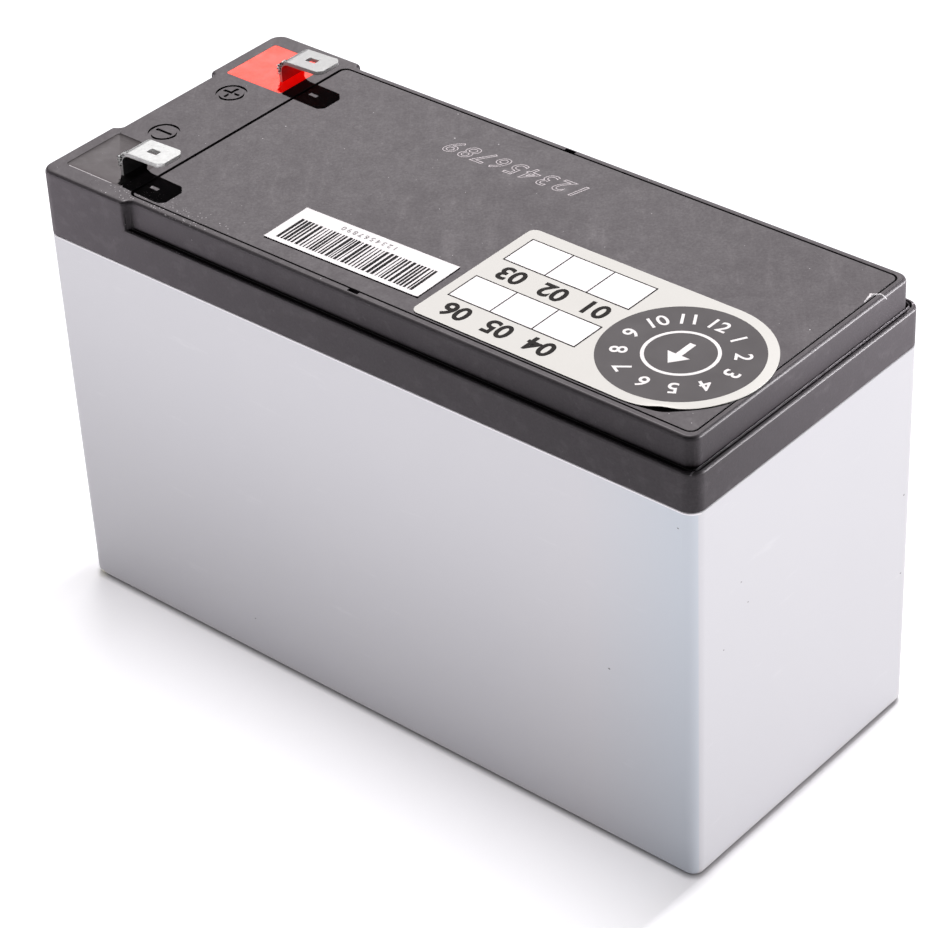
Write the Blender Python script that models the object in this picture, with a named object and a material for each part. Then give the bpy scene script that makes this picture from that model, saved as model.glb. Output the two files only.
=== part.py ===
"""Sealed lead-acid block battery: grey case, black stepped lid, two bent push-on tabs.

The block stands on its flat bottom with the origin at the middle of that face, +X along
its length towards the end without terminals, +Y across its width and +Z up. Inside are
six cells in two rows of three. The current path starts under the positive tab, runs to
the far end along the +Y row, crosses the middle wall there and comes back along -Y.
"""

import math

import bmesh
import bpy
from mathutils import Matrix, Vector

# Outer block
LENGTH = 0.151
WIDTH = 0.065
CASE_HEIGHT = 0.0794  # height of the joint between case and lid
LID_HEIGHT = 0.0136
CORNER_RADIUS = 0.0028

# Case
WALL = 0.0026
FLOOR = 0.0025
PARTITION = 0.0016
CASE_DRAFT = 0.0003  # each side leans in by this much from joint to foot
FOOT_RADIUS = 0.0018
WELL_RADIUS = 0.0010
TONGUE_HEIGHT = 0.0022
TONGUE_THICKNESS = 0.0013
CELLS_PER_ROW = 3

# Lid shell
SKIRT_HEIGHT = 0.0078
SKIRT_EDGE_RADIUS = 0.0007
STEP_INSET = 0.0015
LEDGE_GROOVE_WIDTH = 0.0005
LEDGE_GROOVE_DEPTH = 0.0008
TOP_EDGE_RADIUS = 0.0009
BLOCK_LENGTH = 0.0209  # terminal block along X, from the end face to the jog
BLOCK_WIDTH = 0.0186
JOG_ANGLE = math.radians(70)
UPPER_CORNER_RADIUS = 0.0023
RIB = 0.0012  # lid rib beside each wall that it straddles
TOP_THICKNESS = 0.0022
TERMINAL_FLOOR = 0.0035

# Vent cover plate and its recess
PLATE_THICKNESS = 0.0018
PLATE_END_MARGIN = 0.00125  # lid wall left beyond the plate at the +X end
PLATE_SIDE_MARGIN = 0.0016
PLATE_START = 0.0204  # end face to the near edge of the recess
PLATE_CORNER_RADIUS = 0.0016
PLATE_GAP = 0.00025
PLATE_SEAT = 0.0003
NOTCH_LENGTH = 0.0024
NOTCH_WIDTH = 0.0008
CHANNEL_WIDTH = 0.0020
CHANNEL_DEPTH = 0.0008

# Vent wells, nozzles and rubber caps
VENT_RADIUS = 0.0062
VENT_DEPTH = 0.0074
VENT_WALL = 0.0014
NOZZLE_RADIUS = 0.0031
NOZZLE_DROP = 0.0018  # nozzle top below the recess floor
NOZZLE_BORE = 0.0012
FIRST_VENT_SHIFT = 0.0075  # the end cells' vents keep clear of the terminal blocks
CAP_WALL = 0.0014
CAP_TOP = 0.0013
CAP_CHAMFER = 0.0005
CAP_FIT = 0.0001
CAP_SEAT = 0.0003

# Terminals
TERMINAL_FROM_SIDE = 0.0111
POCKET_FROM_END = 0.0101
POCKET_LENGTH = 0.0142
POCKET_WIDTH = 0.0139
POCKET_DEPTH = 0.0056
POCKET_RADIUS = 0.0006
TAB_WIDTH = 0.00635
TAB_THICKNESS = 0.0008
TAB_RISE = 0.0050  # blade top above the lid
TAB_NECK_FROM_END = 0.0135
TAB_REACH = 0.0109  # neck face to blade tip
TAB_BEND_RADIUS = 0.0026
TAB_FOOT_RADIUS = 0.0013
TAB_FOOT_RISE = 0.0010  # foot above the pocket floor
TAB_TIP_CHAMFER = 0.0011
TAB_HOLE_LENGTH = 0.0021
TAB_HOLE_WIDTH = 0.0011
TAB_HOLE_FROM_TIP = 0.0047
SPIGOT_RADIUS = 0.0012
SPIGOT_HEIGHT = 0.0014
SPIGOT_FIT = 0.0002
POST_RADIUS = 0.0030
POST_FIT = 0.0003
SHOULDER_GAP = 0.0001  # post shoulder below the tab's foot
RING_SECTION = 0.0015
RING_FIT = 0.0001
RING_SEAT_RADIUS = 0.0050
SEAL_FIT = 0.0001
RED_SEAL_DROP = 0.0003
DARK_SEAL_DROP = 0.0008

# Plates, felt and cast straps
POSITIVE_PLATE = 0.0027
NEGATIVE_PLATE = 0.0018
LEAST_FELT = 0.0008
FELT_GAP = 0.0001
STACK_SIDE_GAP = 0.0003
PLATE_END_CLEARANCE = 0.0019
HEADROOM = 0.0099  # joint height down to the plates' top edge
FELT_ABOVE_PLATE = 0.0015
FELT_END_CLEARANCE = 0.0009
FELT_SEAT = 0.0002
STRAP_ABOVE_PLATE = 0.0020
STRAP_THICKNESS = 0.0035
STRAP_WIDTH = 0.0090
STRAP_BEYOND_POST = 0.0010
PLATE_LUG_WIDTH = 0.0060
LUG_THICKNESS = 0.0020
LUG_WIDTH = 0.0110
LUG_RISE = 0.0038
WELD_RADIUS = 0.0026
WELD_FROM_LUG_TOP = 0.0032
WELD_GAP = 0.0003
WELD_FACE_GAP = 0.0001

# Paper labels on the lid
LABEL_THICKNESS = 0.00015
LABEL_GLUE = 0.00005
BARCODE_LENGTH = 0.0353
BARCODE_WIDTH = 0.0117
BARCODE_TO_DISC_LABEL = 0.00185  # strip's end clear of the cream label's square end
BARCODE_FROM_SIDE = 0.0131
BARCODE_TURN = math.radians(1.4)
DISC_LABEL_RADIUS = 0.0166
DISC_LABEL_FROM_END = 0.0185  # disc's middle from the end without terminals
DISC_LABEL_FROM_SIDE = 0.0204
DISC_LABEL_TAIL = 0.0450  # disc centre to the square end
DISC_LABEL_CORNER = 0.0015

# Fits and facets
JOINT_GAP = 0.00015
CUT_OVERRUN = 0.0010
MERGE_DISTANCE = 1e-6
SMOOTH_ANGLE = math.radians(30)
SHARPEST_MITRE = 0.5  # keeps a point at a sharp corner from moving too far
CORNER_STEPS = 5
SMALL_CORNER_STEPS = 2
EDGE_STEPS = 3
BEND_STEPS = 5
ROUND_STEPS = 24
RING_STEPS = 8
LABEL_ARC_STEPS = 28

# Heights and places that follow from the sizes above
LID_TOP = CASE_HEIGHT + LID_HEIGHT
LEDGE = CASE_HEIGHT + SKIRT_HEIGHT
RECESS_FLOOR = LID_TOP - PLATE_THICKNESS - PLATE_SEAT
POCKET_FLOOR = LID_TOP - POCKET_DEPTH
PLATE_TOP = CASE_HEIGHT - HEADROOM
STRAP_BOTTOM = PLATE_TOP + STRAP_ABOVE_PLATE
STRAP_TOP = STRAP_BOTTOM + STRAP_THICKNESS
LUG_TOP = STRAP_TOP + LUG_RISE
WELD_HEIGHT = LUG_TOP - WELD_FROM_LUG_TOP
WELL_LENGTH = (LENGTH - 2 * WALL - (CELLS_PER_ROW - 1) * PARTITION) / CELLS_PER_ROW
WELL_WIDTH = (WIDTH - 2 * WALL - PARTITION) / 2
ROW_Y = (PARTITION + WELL_WIDTH) / 2
TERMINAL_Y = WIDTH / 2 - TERMINAL_FROM_SIDE
POCKET_X = -LENGTH / 2 + POCKET_FROM_END
ROW_SIDES = (1, -1)


def clear_scene():
    for old in list(bpy.data.objects):
        bpy.data.objects.remove(old, do_unlink=True)


def material(name, colour, roughness, metallic=0.0):
    made = bpy.data.materials.new(name)
    made.use_nodes = True
    shader = made.node_tree.nodes["Principled BSDF"]
    shader.inputs["Base Color"].default_value = (*colour, 1.0)
    shader.inputs["Roughness"].default_value = roughness
    shader.inputs["Metallic"].default_value = metallic
    return made


def add_object(name, shape, finish=None):
    """Put a finished bmesh into the scene as a named object."""
    bmesh.ops.remove_doubles(shape, verts=shape.verts, dist=MERGE_DISTANCE)
    bmesh.ops.recalc_face_normals(shape, faces=shape.faces)
    mesh = bpy.data.meshes.new(name)
    shape.to_mesh(mesh)
    shape.free()
    made = bpy.data.objects.new(name, mesh)
    bpy.context.scene.collection.objects.link(made)
    if finish:
        mesh.materials.append(finish)
        mesh.shade_smooth()
        mesh.set_sharp_from_angle(angle=SMOOTH_ANGLE)
    else:
        made.hide_render = True
        made.display_type = "WIRE"
    return made


def combine(target, other, operation):
    change = target.modifiers.new(f"{operation.lower()}_{other.name}", "BOOLEAN")
    change.operation = operation
    change.solver = "EXACT"
    change.object = other


def arc(centre, radius, start, end, steps):
    """Points along an arc, both ends included."""
    angles = [start + (end - start) * i / steps for i in range(steps + 1)]
    return [(centre[0] + radius * math.cos(a), centre[1] + radius * math.sin(a)) for a in angles]


def rounded_rectangle(x0, x1, y0, y1, radius, steps):
    corners = ((x1, y1, 0), (x0, y1, 1), (x0, y0, 2), (x1, y0, 3))
    outline = []
    for x, y, quarter in corners:
        centre = (x - radius if x == x1 else x + radius, y - radius if y == y1 else y + radius)
        start = quarter * math.pi / 2
        outline += arc(centre, radius, start, start + math.pi / 2, steps)
    return outline


def inset(outline, distance):
    """Move each point of a counter-clockwise outline inwards, square to its two edges."""
    moved = []
    for i, point in enumerate(outline):
        here = Vector(point)
        before = (here - Vector(outline[i - 1])).normalized()
        after = (Vector(outline[(i + 1) % len(outline)]) - here).normalized()
        normal = Vector((-before.y - after.y, before.x + after.x)).normalized()
        spread = max(normal.dot(Vector((-before.y, before.x))), SHARPEST_MITRE)
        moved.append(tuple(here + normal * distance / spread))
    return moved


def loft(shape, rings):
    """Skin a stack of (outline, height) rings and cap both ends."""
    rows = [[shape.verts.new((x, y, z)) for x, y in outline] for outline, z in rings]
    count = len(rows[0])
    for lower, upper in zip(rows, rows[1:]):
        for i in range(count):
            j = (i + 1) % count
            shape.faces.new((lower[i], lower[j], upper[j], upper[i]))
    shape.faces.new(list(reversed(rows[0])))
    shape.faces.new(rows[-1])


def add_prism(shape, outline, low, high):
    loft(shape, [(outline, low), (outline, high)])


def add_box(shape, x0, x1, y0, y1, z0, z1):
    add_prism(shape, [(x0, y0), (x1, y0), (x1, y1), (x0, y1)], z0, z1)


def add_extrusion(shape, near_points, far_points):
    """Join two matching outlines with side faces and cap them both."""
    near = [shape.verts.new(point) for point in near_points]
    far = [shape.verts.new(point) for point in far_points]
    shape.faces.new(near)
    shape.faces.new(list(reversed(far)))
    for i in range(len(near)):
        j = (i + 1) % len(near)
        shape.faces.new((near[j], near[i], far[i], far[j]))


def add_side_profile(shape, outline, y0, y1):
    """Extrude an outline drawn in the XZ plane along Y."""
    add_extrusion(shape, [(x, y0, z) for x, z in outline], [(x, y1, z) for x, z in outline])


def add_rod(shape, radius, start, end, steps=ROUND_STEPS):
    """A capped cylinder between two points."""
    start, end = Vector(start), Vector(end)
    turn = (end - start).to_track_quat("Z", "Y").to_matrix().to_4x4()
    place = Matrix.Translation((start + end) / 2) @ turn
    bmesh.ops.create_cone(
        shape,
        cap_ends=True,
        segments=steps,
        radius1=radius,
        radius2=radius,
        depth=(end - start).length,
        matrix=place,
    )


def add_turned(name, profile, place, finish=None, closed=False):
    """Revolve a profile of (radius, height) points, listed down its outer side."""
    shape = bmesh.new()
    line = [shape.verts.new((r, 0.0, z)) for r, z in profile]
    for a, b in zip(line, line[1:]):
        shape.edges.new((a, b))
    if closed:
        shape.edges.new((line[-1], line[0]))
    mesh = bpy.data.meshes.new(name)
    shape.to_mesh(mesh)
    shape.free()
    made = bpy.data.objects.new(name, mesh)
    bpy.context.scene.collection.objects.link(made)
    made.location = place
    turning = made.modifiers.new("revolve", "SCREW")
    turning.steps = ROUND_STEPS
    turning.render_steps = ROUND_STEPS
    turning.use_merge_vertices = True
    turning.merge_threshold = MERGE_DISTANCE
    turning.use_smooth_shade = True
    if finish:
        mesh.materials.append(finish)
    else:
        made.hide_render = True
        made.display_type = "WIRE"
    return made


def well_bounds(column, side):
    """The inside of one cell well: x0, x1, y0, y1."""
    x0 = -LENGTH / 2 + WALL + column * (WELL_LENGTH + PARTITION)
    y_inner = side * PARTITION / 2
    y_outer = side * (PARTITION / 2 + WELL_WIDTH)
    return x0, x0 + WELL_LENGTH, min(y_inner, y_outer), max(y_inner, y_outer)


def every_well():
    for side in ROW_SIDES:
        for column in range(CELLS_PER_ROW):
            yield column, side, well_bounds(column, side)


def partition_middle(column):
    """The middle plane of the wall between this column's well and the next."""
    return well_bounds(column, 1)[1] + PARTITION / 2


def make_case(finish):
    """Outer skin with draft and a rounded foot, six wells, a tongue and the weld holes."""
    top = rounded_rectangle(
        -LENGTH / 2, LENGTH / 2, -WIDTH / 2, WIDTH / 2, CORNER_RADIUS, CORNER_STEPS
    )
    rings = []
    for i in range(EDGE_STEPS + 1):
        angle = math.pi / 2 * i / EDGE_STEPS
        drop = CASE_DRAFT + FOOT_RADIUS * (1 - math.sin(angle))
        rings.append((inset(top, drop), FOOT_RADIUS * (1 - math.cos(angle))))
    rings.append((top, CASE_HEIGHT - JOINT_GAP))
    tongue = inset(top, WALL - TONGUE_THICKNESS)
    rings.append((tongue, CASE_HEIGHT - JOINT_GAP))
    rings.append((tongue, CASE_HEIGHT + TONGUE_HEIGHT))
    shape = bmesh.new()
    loft(shape, rings)
    case = add_object("container", shape, finish)

    wells = bmesh.new()
    for _, _, bounds in every_well():
        outline = rounded_rectangle(*bounds, WELL_RADIUS, SMALL_CORNER_STEPS)
        add_prism(wells, outline, FLOOR, CASE_HEIGHT + TONGUE_HEIGHT + CUT_OVERRUN)
    combine(case, add_object("well_cutter", wells), "DIFFERENCE")

    holes = bmesh.new()
    radius = WELD_RADIUS + WELD_GAP
    for side in ROW_SIDES:
        for column in range(CELLS_PER_ROW - 1):
            x = partition_middle(column)
            ends = [(x + s * PARTITION, side * ROW_Y, WELD_HEIGHT) for s in (-1, 1)]
            add_rod(holes, radius, *ends)
    x = crossing_x()
    add_rod(holes, radius, (x, -PARTITION, WELD_HEIGHT), (x, PARTITION, WELD_HEIGHT))
    combine(case, add_object("weld_hole_cutter", holes), "DIFFERENCE")


def jog_radius():
    """Radius of the two arcs that together step in by STEP_INSET."""
    return STEP_INSET / (2 * (1 - math.cos(JOG_ANGLE)))


def jog_run():
    return 2 * jog_radius() * math.sin(JOG_ANGLE)


def jog(start, along, inward):
    """An S-shaped step from a block's face to the wall behind it, as two arcs."""
    radius, run, points = jog_radius(), jog_run(), []
    for i in range(BEND_STEPS + 1):
        angle = JOG_ANGLE * i / BEND_STEPS
        points.append((radius * math.sin(angle), radius * (1 - math.cos(angle))))
    for u, v in reversed(points[:-1]):
        points.append((run - u, STEP_INSET - v))
    start, along, inward = Vector(start), Vector(along), Vector(inward)
    return [tuple(start + along * u + inward * v) for u, v in points]


def upper_outline():
    """The lid above its ledge: flush at the two terminal blocks, stepped in elsewhere."""
    x0, x1, y1 = -LENGTH / 2, LENGTH / 2, WIDTH / 2
    jog_x, jog_y = x0 + BLOCK_LENGTH, y1 - BLOCK_WIDTH
    corner = (x1 - STEP_INSET - UPPER_CORNER_RADIUS, y1 - STEP_INSET - UPPER_CORNER_RADIUS)
    half = arc(corner, UPPER_CORNER_RADIUS, 0, math.pi / 2, CORNER_STEPS)
    half += list(reversed(jog((jog_x, y1), (1, 0), (0, -1))))
    corner = (x0 + CORNER_RADIUS, y1 - CORNER_RADIUS)
    half += arc(corner, CORNER_RADIUS, math.pi / 2, math.pi, CORNER_STEPS)
    half += jog((x0, jog_y), (0, -1), (1, 0))
    return half + [(x, -y) for x, y in reversed(half)]


def make_lid_shell(finish):
    """The lower skirt and the stepped upper body, with the groove along the ledge."""
    skirt = rounded_rectangle(
        -LENGTH / 2, LENGTH / 2, -WIDTH / 2, WIDTH / 2, CORNER_RADIUS, CORNER_STEPS
    )
    rings = [(skirt, CASE_HEIGHT)]
    for i in range(EDGE_STEPS + 1):
        angle = math.pi / 2 * i / EDGE_STEPS
        rise = SKIRT_EDGE_RADIUS * (math.sin(angle) - 1)
        rings.append((inset(skirt, SKIRT_EDGE_RADIUS * (1 - math.cos(angle))), LEDGE + rise))
    shape = bmesh.new()
    loft(shape, rings)
    lid = add_object("lid", shape, finish)

    groove_floor = LEDGE - LEDGE_GROOVE_DEPTH
    reach = STEP_INSET - LEDGE_GROOVE_WIDTH
    x_jog = -LENGTH / 2 + BLOCK_LENGTH + jog_run()
    y_jog = WIDTH / 2 - BLOCK_WIDTH - jog_run()
    main = rounded_rectangle(
        x_jog, LENGTH / 2 - reach, -WIDTH / 2 + reach, WIDTH / 2 - reach,
        CORNER_RADIUS - reach, CORNER_STEPS,
    )
    cut = bmesh.new()
    add_prism(cut, main, groove_floor, LEDGE + CUT_OVERRUN)
    end_depth = STEP_INSET + LEDGE_GROOVE_WIDTH
    add_box(
        cut, -LENGTH / 2 + reach, -LENGTH / 2 + end_depth, -y_jog, y_jog,
        groove_floor, LEDGE + CUT_OVERRUN,
    )
    combine(lid, add_object("ledge_cutter", cut), "DIFFERENCE")

    upper = upper_outline()
    rings = [(upper, groove_floor - STEP_INSET)]
    for i in range(EDGE_STEPS + 1):
        angle = math.pi / 2 * i / EDGE_STEPS
        rise = TOP_EDGE_RADIUS * (math.sin(angle) - 1)
        rings.append((inset(upper, TOP_EDGE_RADIUS * (1 - math.cos(angle))), LID_TOP + rise))
    body = bmesh.new()
    loft(body, rings)
    combine(lid, add_object("upper_body", body), "UNION")
    return lid


def recess_bounds(gap):
    """The plan of the cover plate's recess, less a gap on every side."""
    return (
        -LENGTH / 2 + PLATE_START + gap,
        LENGTH / 2 - STEP_INSET - PLATE_END_MARGIN - gap,
        -WIDTH / 2 + STEP_INSET + PLATE_SIDE_MARGIN + gap,
        WIDTH / 2 - STEP_INSET - PLATE_SIDE_MARGIN - gap,
    )


def vent_places():
    """The middle of each cell's vent, in the order of the current path."""
    places = []
    for side in ROW_SIDES:
        for column in range(CELLS_PER_ROW):
            x0, x1, _, _ = well_bounds(column, side)
            shift = FIRST_VENT_SHIFT if column == 0 else 0.0
            places.append(((x0 + x1) / 2 + shift, side * ROW_Y))
    return places[:CELLS_PER_ROW] + places[:CELLS_PER_ROW - 1:-1]


def cut_cover_recess(lid):
    """The recess for the cover plate, its two side notches and the gas channels."""
    x0, x1, y0, y1 = recess_bounds(0.0)
    cut = bmesh.new()
    outline = rounded_rectangle(x0, x1, y0, y1, PLATE_CORNER_RADIUS, EDGE_STEPS)
    add_prism(cut, outline, RECESS_FLOOR, LID_TOP + CUT_OVERRUN)
    combine(lid, add_object("recess_cutter", cut), "DIFFERENCE")

    notches = bmesh.new()
    half = NOTCH_LENGTH / 2
    for side in ROW_SIDES:
        near, far = side * (y1 - CUT_OVERRUN), side * (y1 + NOTCH_WIDTH)
        add_box(
            notches, -half, half, min(near, far), max(near, far),
            LID_TOP - PLATE_THICKNESS, LID_TOP + CUT_OVERRUN,
        )
    combine(lid, add_object("notch_cutter", notches), "DIFFERENCE")

    rows = bmesh.new()
    vents = vent_places()
    low, high = RECESS_FLOOR - CHANNEL_DEPTH, RECESS_FLOOR + CHANNEL_DEPTH
    half = CHANNEL_WIDTH / 2
    ends = min(x for x, _ in vents), max(x for x, _ in vents)
    for side in ROW_SIDES:
        add_box(rows, *ends, side * ROW_Y - half, side * ROW_Y + half, low, high)
    combine(lid, add_object("channel_cutter", rows), "DIFFERENCE")
    across = bmesh.new()
    add_box(across, -half, half, -ROW_Y, ROW_Y, low, high)
    combine(lid, add_object("cross_channel_cutter", across), "DIFFERENCE")


def cut_underside(lid):
    """Six head spaces, left solid round the vent wells, and the grooves for the walls."""
    spaces = bmesh.new()
    low = CASE_HEIGHT - CUT_OVERRUN
    high = RECESS_FLOOR - TOP_THICKNESS
    rim = RIB + JOINT_GAP
    for column, _, (x0, x1, y0, y1) in every_well():
        x0, x1, y0, y1 = x0 + rim, x1 - rim, y0 + rim, y1 - rim
        if column:
            add_box(spaces, x0, x1, y0, y1, low, high)
            continue
        step = POCKET_FLOOR - TERMINAL_FLOOR
        turn = -LENGTH / 2 + BLOCK_LENGTH
        outline = [(x0, low), (x1, low), (x1, high), (turn, high), (turn, step), (x0, step)]
        add_side_profile(spaces, outline, y0, y1)
    cutter = add_object("head_space_cutter", spaces)
    cups = bmesh.new()
    foot = RECESS_FLOOR - VENT_DEPTH - VENT_WALL
    for x, y in vent_places():
        add_rod(cups, VENT_RADIUS + VENT_WALL, (x, y, foot), (x, y, LID_TOP))
    combine(cutter, add_object("vent_cup", cups), "DIFFERENCE")
    combine(lid, cutter, "DIFFERENCE")

    groove_top = CASE_HEIGHT + TONGUE_HEIGHT + JOINT_GAP
    skirt = rounded_rectangle(
        -LENGTH / 2, LENGTH / 2, -WIDTH / 2, WIDTH / 2, CORNER_RADIUS, CORNER_STEPS
    )
    ring = bmesh.new()
    add_prism(ring, inset(skirt, WALL - TONGUE_THICKNESS - JOINT_GAP), low, groove_top)
    outer = add_object("tongue_groove_cutter", ring)
    core = bmesh.new()
    for _, _, (x0, x1, y0, y1) in every_well():
        outline = rounded_rectangle(
            x0 + JOINT_GAP, x1 - JOINT_GAP, y0 + JOINT_GAP, y1 - JOINT_GAP,
            WELL_RADIUS, SMALL_CORNER_STEPS,
        )
        add_prism(core, outline, low - CUT_OVERRUN, groove_top + CUT_OVERRUN)
    combine(outer, add_object("groove_core", core), "DIFFERENCE")
    combine(lid, outer, "DIFFERENCE")


def cut_vents(lid):
    """A round well in each head space with a nozzle standing in it."""
    floor = RECESS_FLOOR - VENT_DEPTH
    nozzle_top = RECESS_FLOOR - NOZZLE_DROP
    profile = [
        (0.0, RECESS_FLOOR + CUT_OVERRUN),
        (VENT_RADIUS, RECESS_FLOOR + CUT_OVERRUN),
        (VENT_RADIUS, floor),
        (NOZZLE_RADIUS, floor),
        (NOZZLE_RADIUS, nozzle_top),
        (NOZZLE_BORE, nozzle_top),
        (NOZZLE_BORE, floor - VENT_WALL - CUT_OVERRUN),
        (0.0, floor - VENT_WALL - CUT_OVERRUN),
    ]
    for i, (x, y) in enumerate(vent_places(), 1):
        combine(lid, add_turned(f"vent_cutter_{i}", profile, (x, y, 0.0)), "DIFFERENCE")


def cut_terminal_pockets(lid):
    """The square pocket in each terminal block and the stepped bore under it."""
    cut = bmesh.new()
    for side in ROW_SIDES:
        outline = rounded_rectangle(
            POCKET_X - POCKET_LENGTH / 2, POCKET_X + POCKET_LENGTH / 2,
            side * TERMINAL_Y - POCKET_WIDTH / 2, side * TERMINAL_Y + POCKET_WIDTH / 2,
            POCKET_RADIUS, SMALL_CORNER_STEPS,
        )
        add_prism(cut, outline, POCKET_FLOOR, LID_TOP + CUT_OVERRUN)
    combine(lid, add_object("pocket_cutter", cut), "DIFFERENCE")
    seat = POCKET_FLOOR - RING_SECTION
    bore = POST_RADIUS + POST_FIT
    profile = [
        (0.0, POCKET_FLOOR + CUT_OVERRUN),
        (RING_SEAT_RADIUS, POCKET_FLOOR + CUT_OVERRUN),
        (RING_SEAT_RADIUS, seat),
        (bore, seat),
        (bore, POCKET_FLOOR - TERMINAL_FLOOR - CUT_OVERRUN),
        (0.0, POCKET_FLOOR - TERMINAL_FLOOR - CUT_OVERRUN),
    ]
    for name, side in (("positive", 1), ("negative", -1)):
        place = (POCKET_X, side * TERMINAL_Y, 0.0)
        combine(lid, add_turned(f"{name}_bore_cutter", profile, place), "DIFFERENCE")


def make_lid(finish):
    lid = make_lid_shell(finish)
    cut_underside(lid)
    cut_cover_recess(lid)
    cut_vents(lid)
    cut_terminal_pockets(lid)


def make_cover_plate(finish):
    """The flat plate welded over the vents, flush with the lid."""
    shape = bmesh.new()
    radius = PLATE_CORNER_RADIUS - PLATE_GAP
    outline = rounded_rectangle(*recess_bounds(PLATE_GAP), radius, EDGE_STEPS)
    add_prism(shape, outline, LID_TOP - PLATE_THICKNESS, LID_TOP)
    add_object("vent_cover_plate", shape, finish)


def make_vent_caps(finish):
    """Rubber caps that sit over the nozzles and lift to let gas out."""
    inner = NOZZLE_RADIUS + CAP_FIT
    outer = inner + CAP_WALL
    inside_top = RECESS_FLOOR - NOZZLE_DROP + CAP_FIT
    top = inside_top + CAP_TOP
    foot = RECESS_FLOOR - VENT_DEPTH + CAP_SEAT
    profile = [
        (0.0, top),
        (outer - CAP_CHAMFER, top),
        (outer, top - CAP_CHAMFER),
        (outer, foot),
        (inner, foot),
        (inner, inside_top),
        (0.0, inside_top),
    ]
    for i, (x, y) in enumerate(vent_places(), 1):
        add_turned(f"vent_cap_{i}", profile, (x, y, 0.0), finish)


def tab_neck_x():
    return -LENGTH / 2 + TAB_NECK_FROM_END


def tab_foot_height():
    return POCKET_FLOOR + TAB_FOOT_RISE


def tab_outline(grow=0.0):
    """Side view of a tab: foot towards -X, upright neck, blade towards +X."""
    neck, low, top = tab_neck_x(), tab_foot_height(), LID_TOP + TAB_RISE
    thick = TAB_THICKNESS
    foot_end = POCKET_X - POST_RADIUS
    tip = neck + TAB_REACH
    inner_top = TAB_BEND_RADIUS - thick
    inner_foot = TAB_FOOT_RADIUS - thick
    outline = [(foot_end - grow, low - grow)]
    centre = (neck + thick - TAB_FOOT_RADIUS, low + TAB_FOOT_RADIUS)
    outline += arc(centre, TAB_FOOT_RADIUS + grow, -math.pi / 2, 0, BEND_STEPS)
    centre = (neck + TAB_BEND_RADIUS, top - TAB_BEND_RADIUS)
    outline += arc(centre, inner_top - grow, math.pi, math.pi / 2, BEND_STEPS)
    outline += [(tip + grow, top - thick - grow), (tip + grow, top + grow)]
    outline += arc(centre, TAB_BEND_RADIUS + grow, math.pi / 2, math.pi, BEND_STEPS)
    centre = (neck - inner_foot, low + thick + inner_foot)
    outline += arc(centre, inner_foot - grow, 0, -math.pi / 2, BEND_STEPS)
    outline.append((foot_end - grow, low + thick + grow))
    return outline


def make_tab(name, side, finish):
    """One push-on tab with its hole, clipped tip and pierced foot."""
    y = side * TERMINAL_Y
    shape = bmesh.new()
    add_side_profile(shape, tab_outline(), y - TAB_WIDTH / 2, y + TAB_WIDTH / 2)
    tab = add_object(name, shape, finish)
    tip = tab_neck_x() + TAB_REACH
    top = LID_TOP + TAB_RISE
    low, high = top - 2 * TAB_THICKNESS, top + TAB_THICKNESS
    hole_x = tip - TAB_HOLE_FROM_TIP
    cut = bmesh.new()
    add_box(
        cut, hole_x - TAB_HOLE_LENGTH / 2, hole_x + TAB_HOLE_LENGTH / 2,
        y - TAB_HOLE_WIDTH / 2, y + TAB_HOLE_WIDTH / 2, low, high,
    )
    reach = TAB_TIP_CHAMFER + CUT_OVERRUN
    for s in (-1, 1):
        edge = y + s * TAB_WIDTH / 2
        corner = [
            (tip - reach, edge + s * CUT_OVERRUN),
            (tip + CUT_OVERRUN, edge - s * reach),
            (tip + CUT_OVERRUN, edge + s * CUT_OVERRUN),
        ]
        add_prism(cut, corner if s > 0 else corner[::-1], low, high)
    foot = tab_foot_height()
    add_rod(
        cut, SPIGOT_RADIUS + SPIGOT_FIT,
        (POCKET_X, y, foot - CUT_OVERRUN), (POCKET_X, y, foot + TAB_THICKNESS + CUT_OVERRUN),
    )
    combine(tab, add_object(f"{name}_cutter", cut), "DIFFERENCE")


def make_sealing_ring(name, side, finish):
    """O-ring round the lead post, in the counterbore under the potting."""
    radius = RING_SECTION / 2 - RING_FIT
    middle = POST_RADIUS + RING_FIT + radius
    height = POCKET_FLOOR - RING_SECTION / 2
    angles = [math.pi / 2 - 2 * math.pi * i / RING_STEPS for i in range(RING_STEPS)]
    profile = [(middle + radius * math.cos(a), height + radius * math.sin(a)) for a in angles]
    add_turned(name, profile, (POCKET_X, side * TERMINAL_Y, 0.0), finish, closed=True)


def make_terminal_seal(name, side, drop, finish):
    """Potting resin that fills the pocket round the post and the tab."""
    y = side * TERMINAL_Y
    half_x = POCKET_LENGTH / 2 - SEAL_FIT
    half_y = POCKET_WIDTH / 2 - SEAL_FIT
    outline = rounded_rectangle(
        POCKET_X - half_x, POCKET_X + half_x, y - half_y, y + half_y,
        POCKET_RADIUS - SEAL_FIT, SMALL_CORNER_STEPS,
    )
    shape = bmesh.new()
    add_prism(shape, outline, POCKET_FLOOR + SEAL_FIT, LID_TOP - drop)
    seal = add_object(name, shape, finish)
    slot = bmesh.new()
    half = TAB_WIDTH / 2 + SEAL_FIT
    add_side_profile(slot, tab_outline(SEAL_FIT), y - half, y + half)
    combine(seal, add_object(f"{name}_tab_cutter", slot), "DIFFERENCE")
    hole = bmesh.new()
    foot = tab_foot_height()
    top = foot + TAB_THICKNESS + SPIGOT_HEIGHT + SEAL_FIT
    add_rod(hole, POST_RADIUS + SEAL_FIT, (POCKET_X, y, POCKET_FLOOR), (POCKET_X, y, top))
    combine(seal, add_object(f"{name}_post_cutter", hole), "DIFFERENCE")


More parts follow.
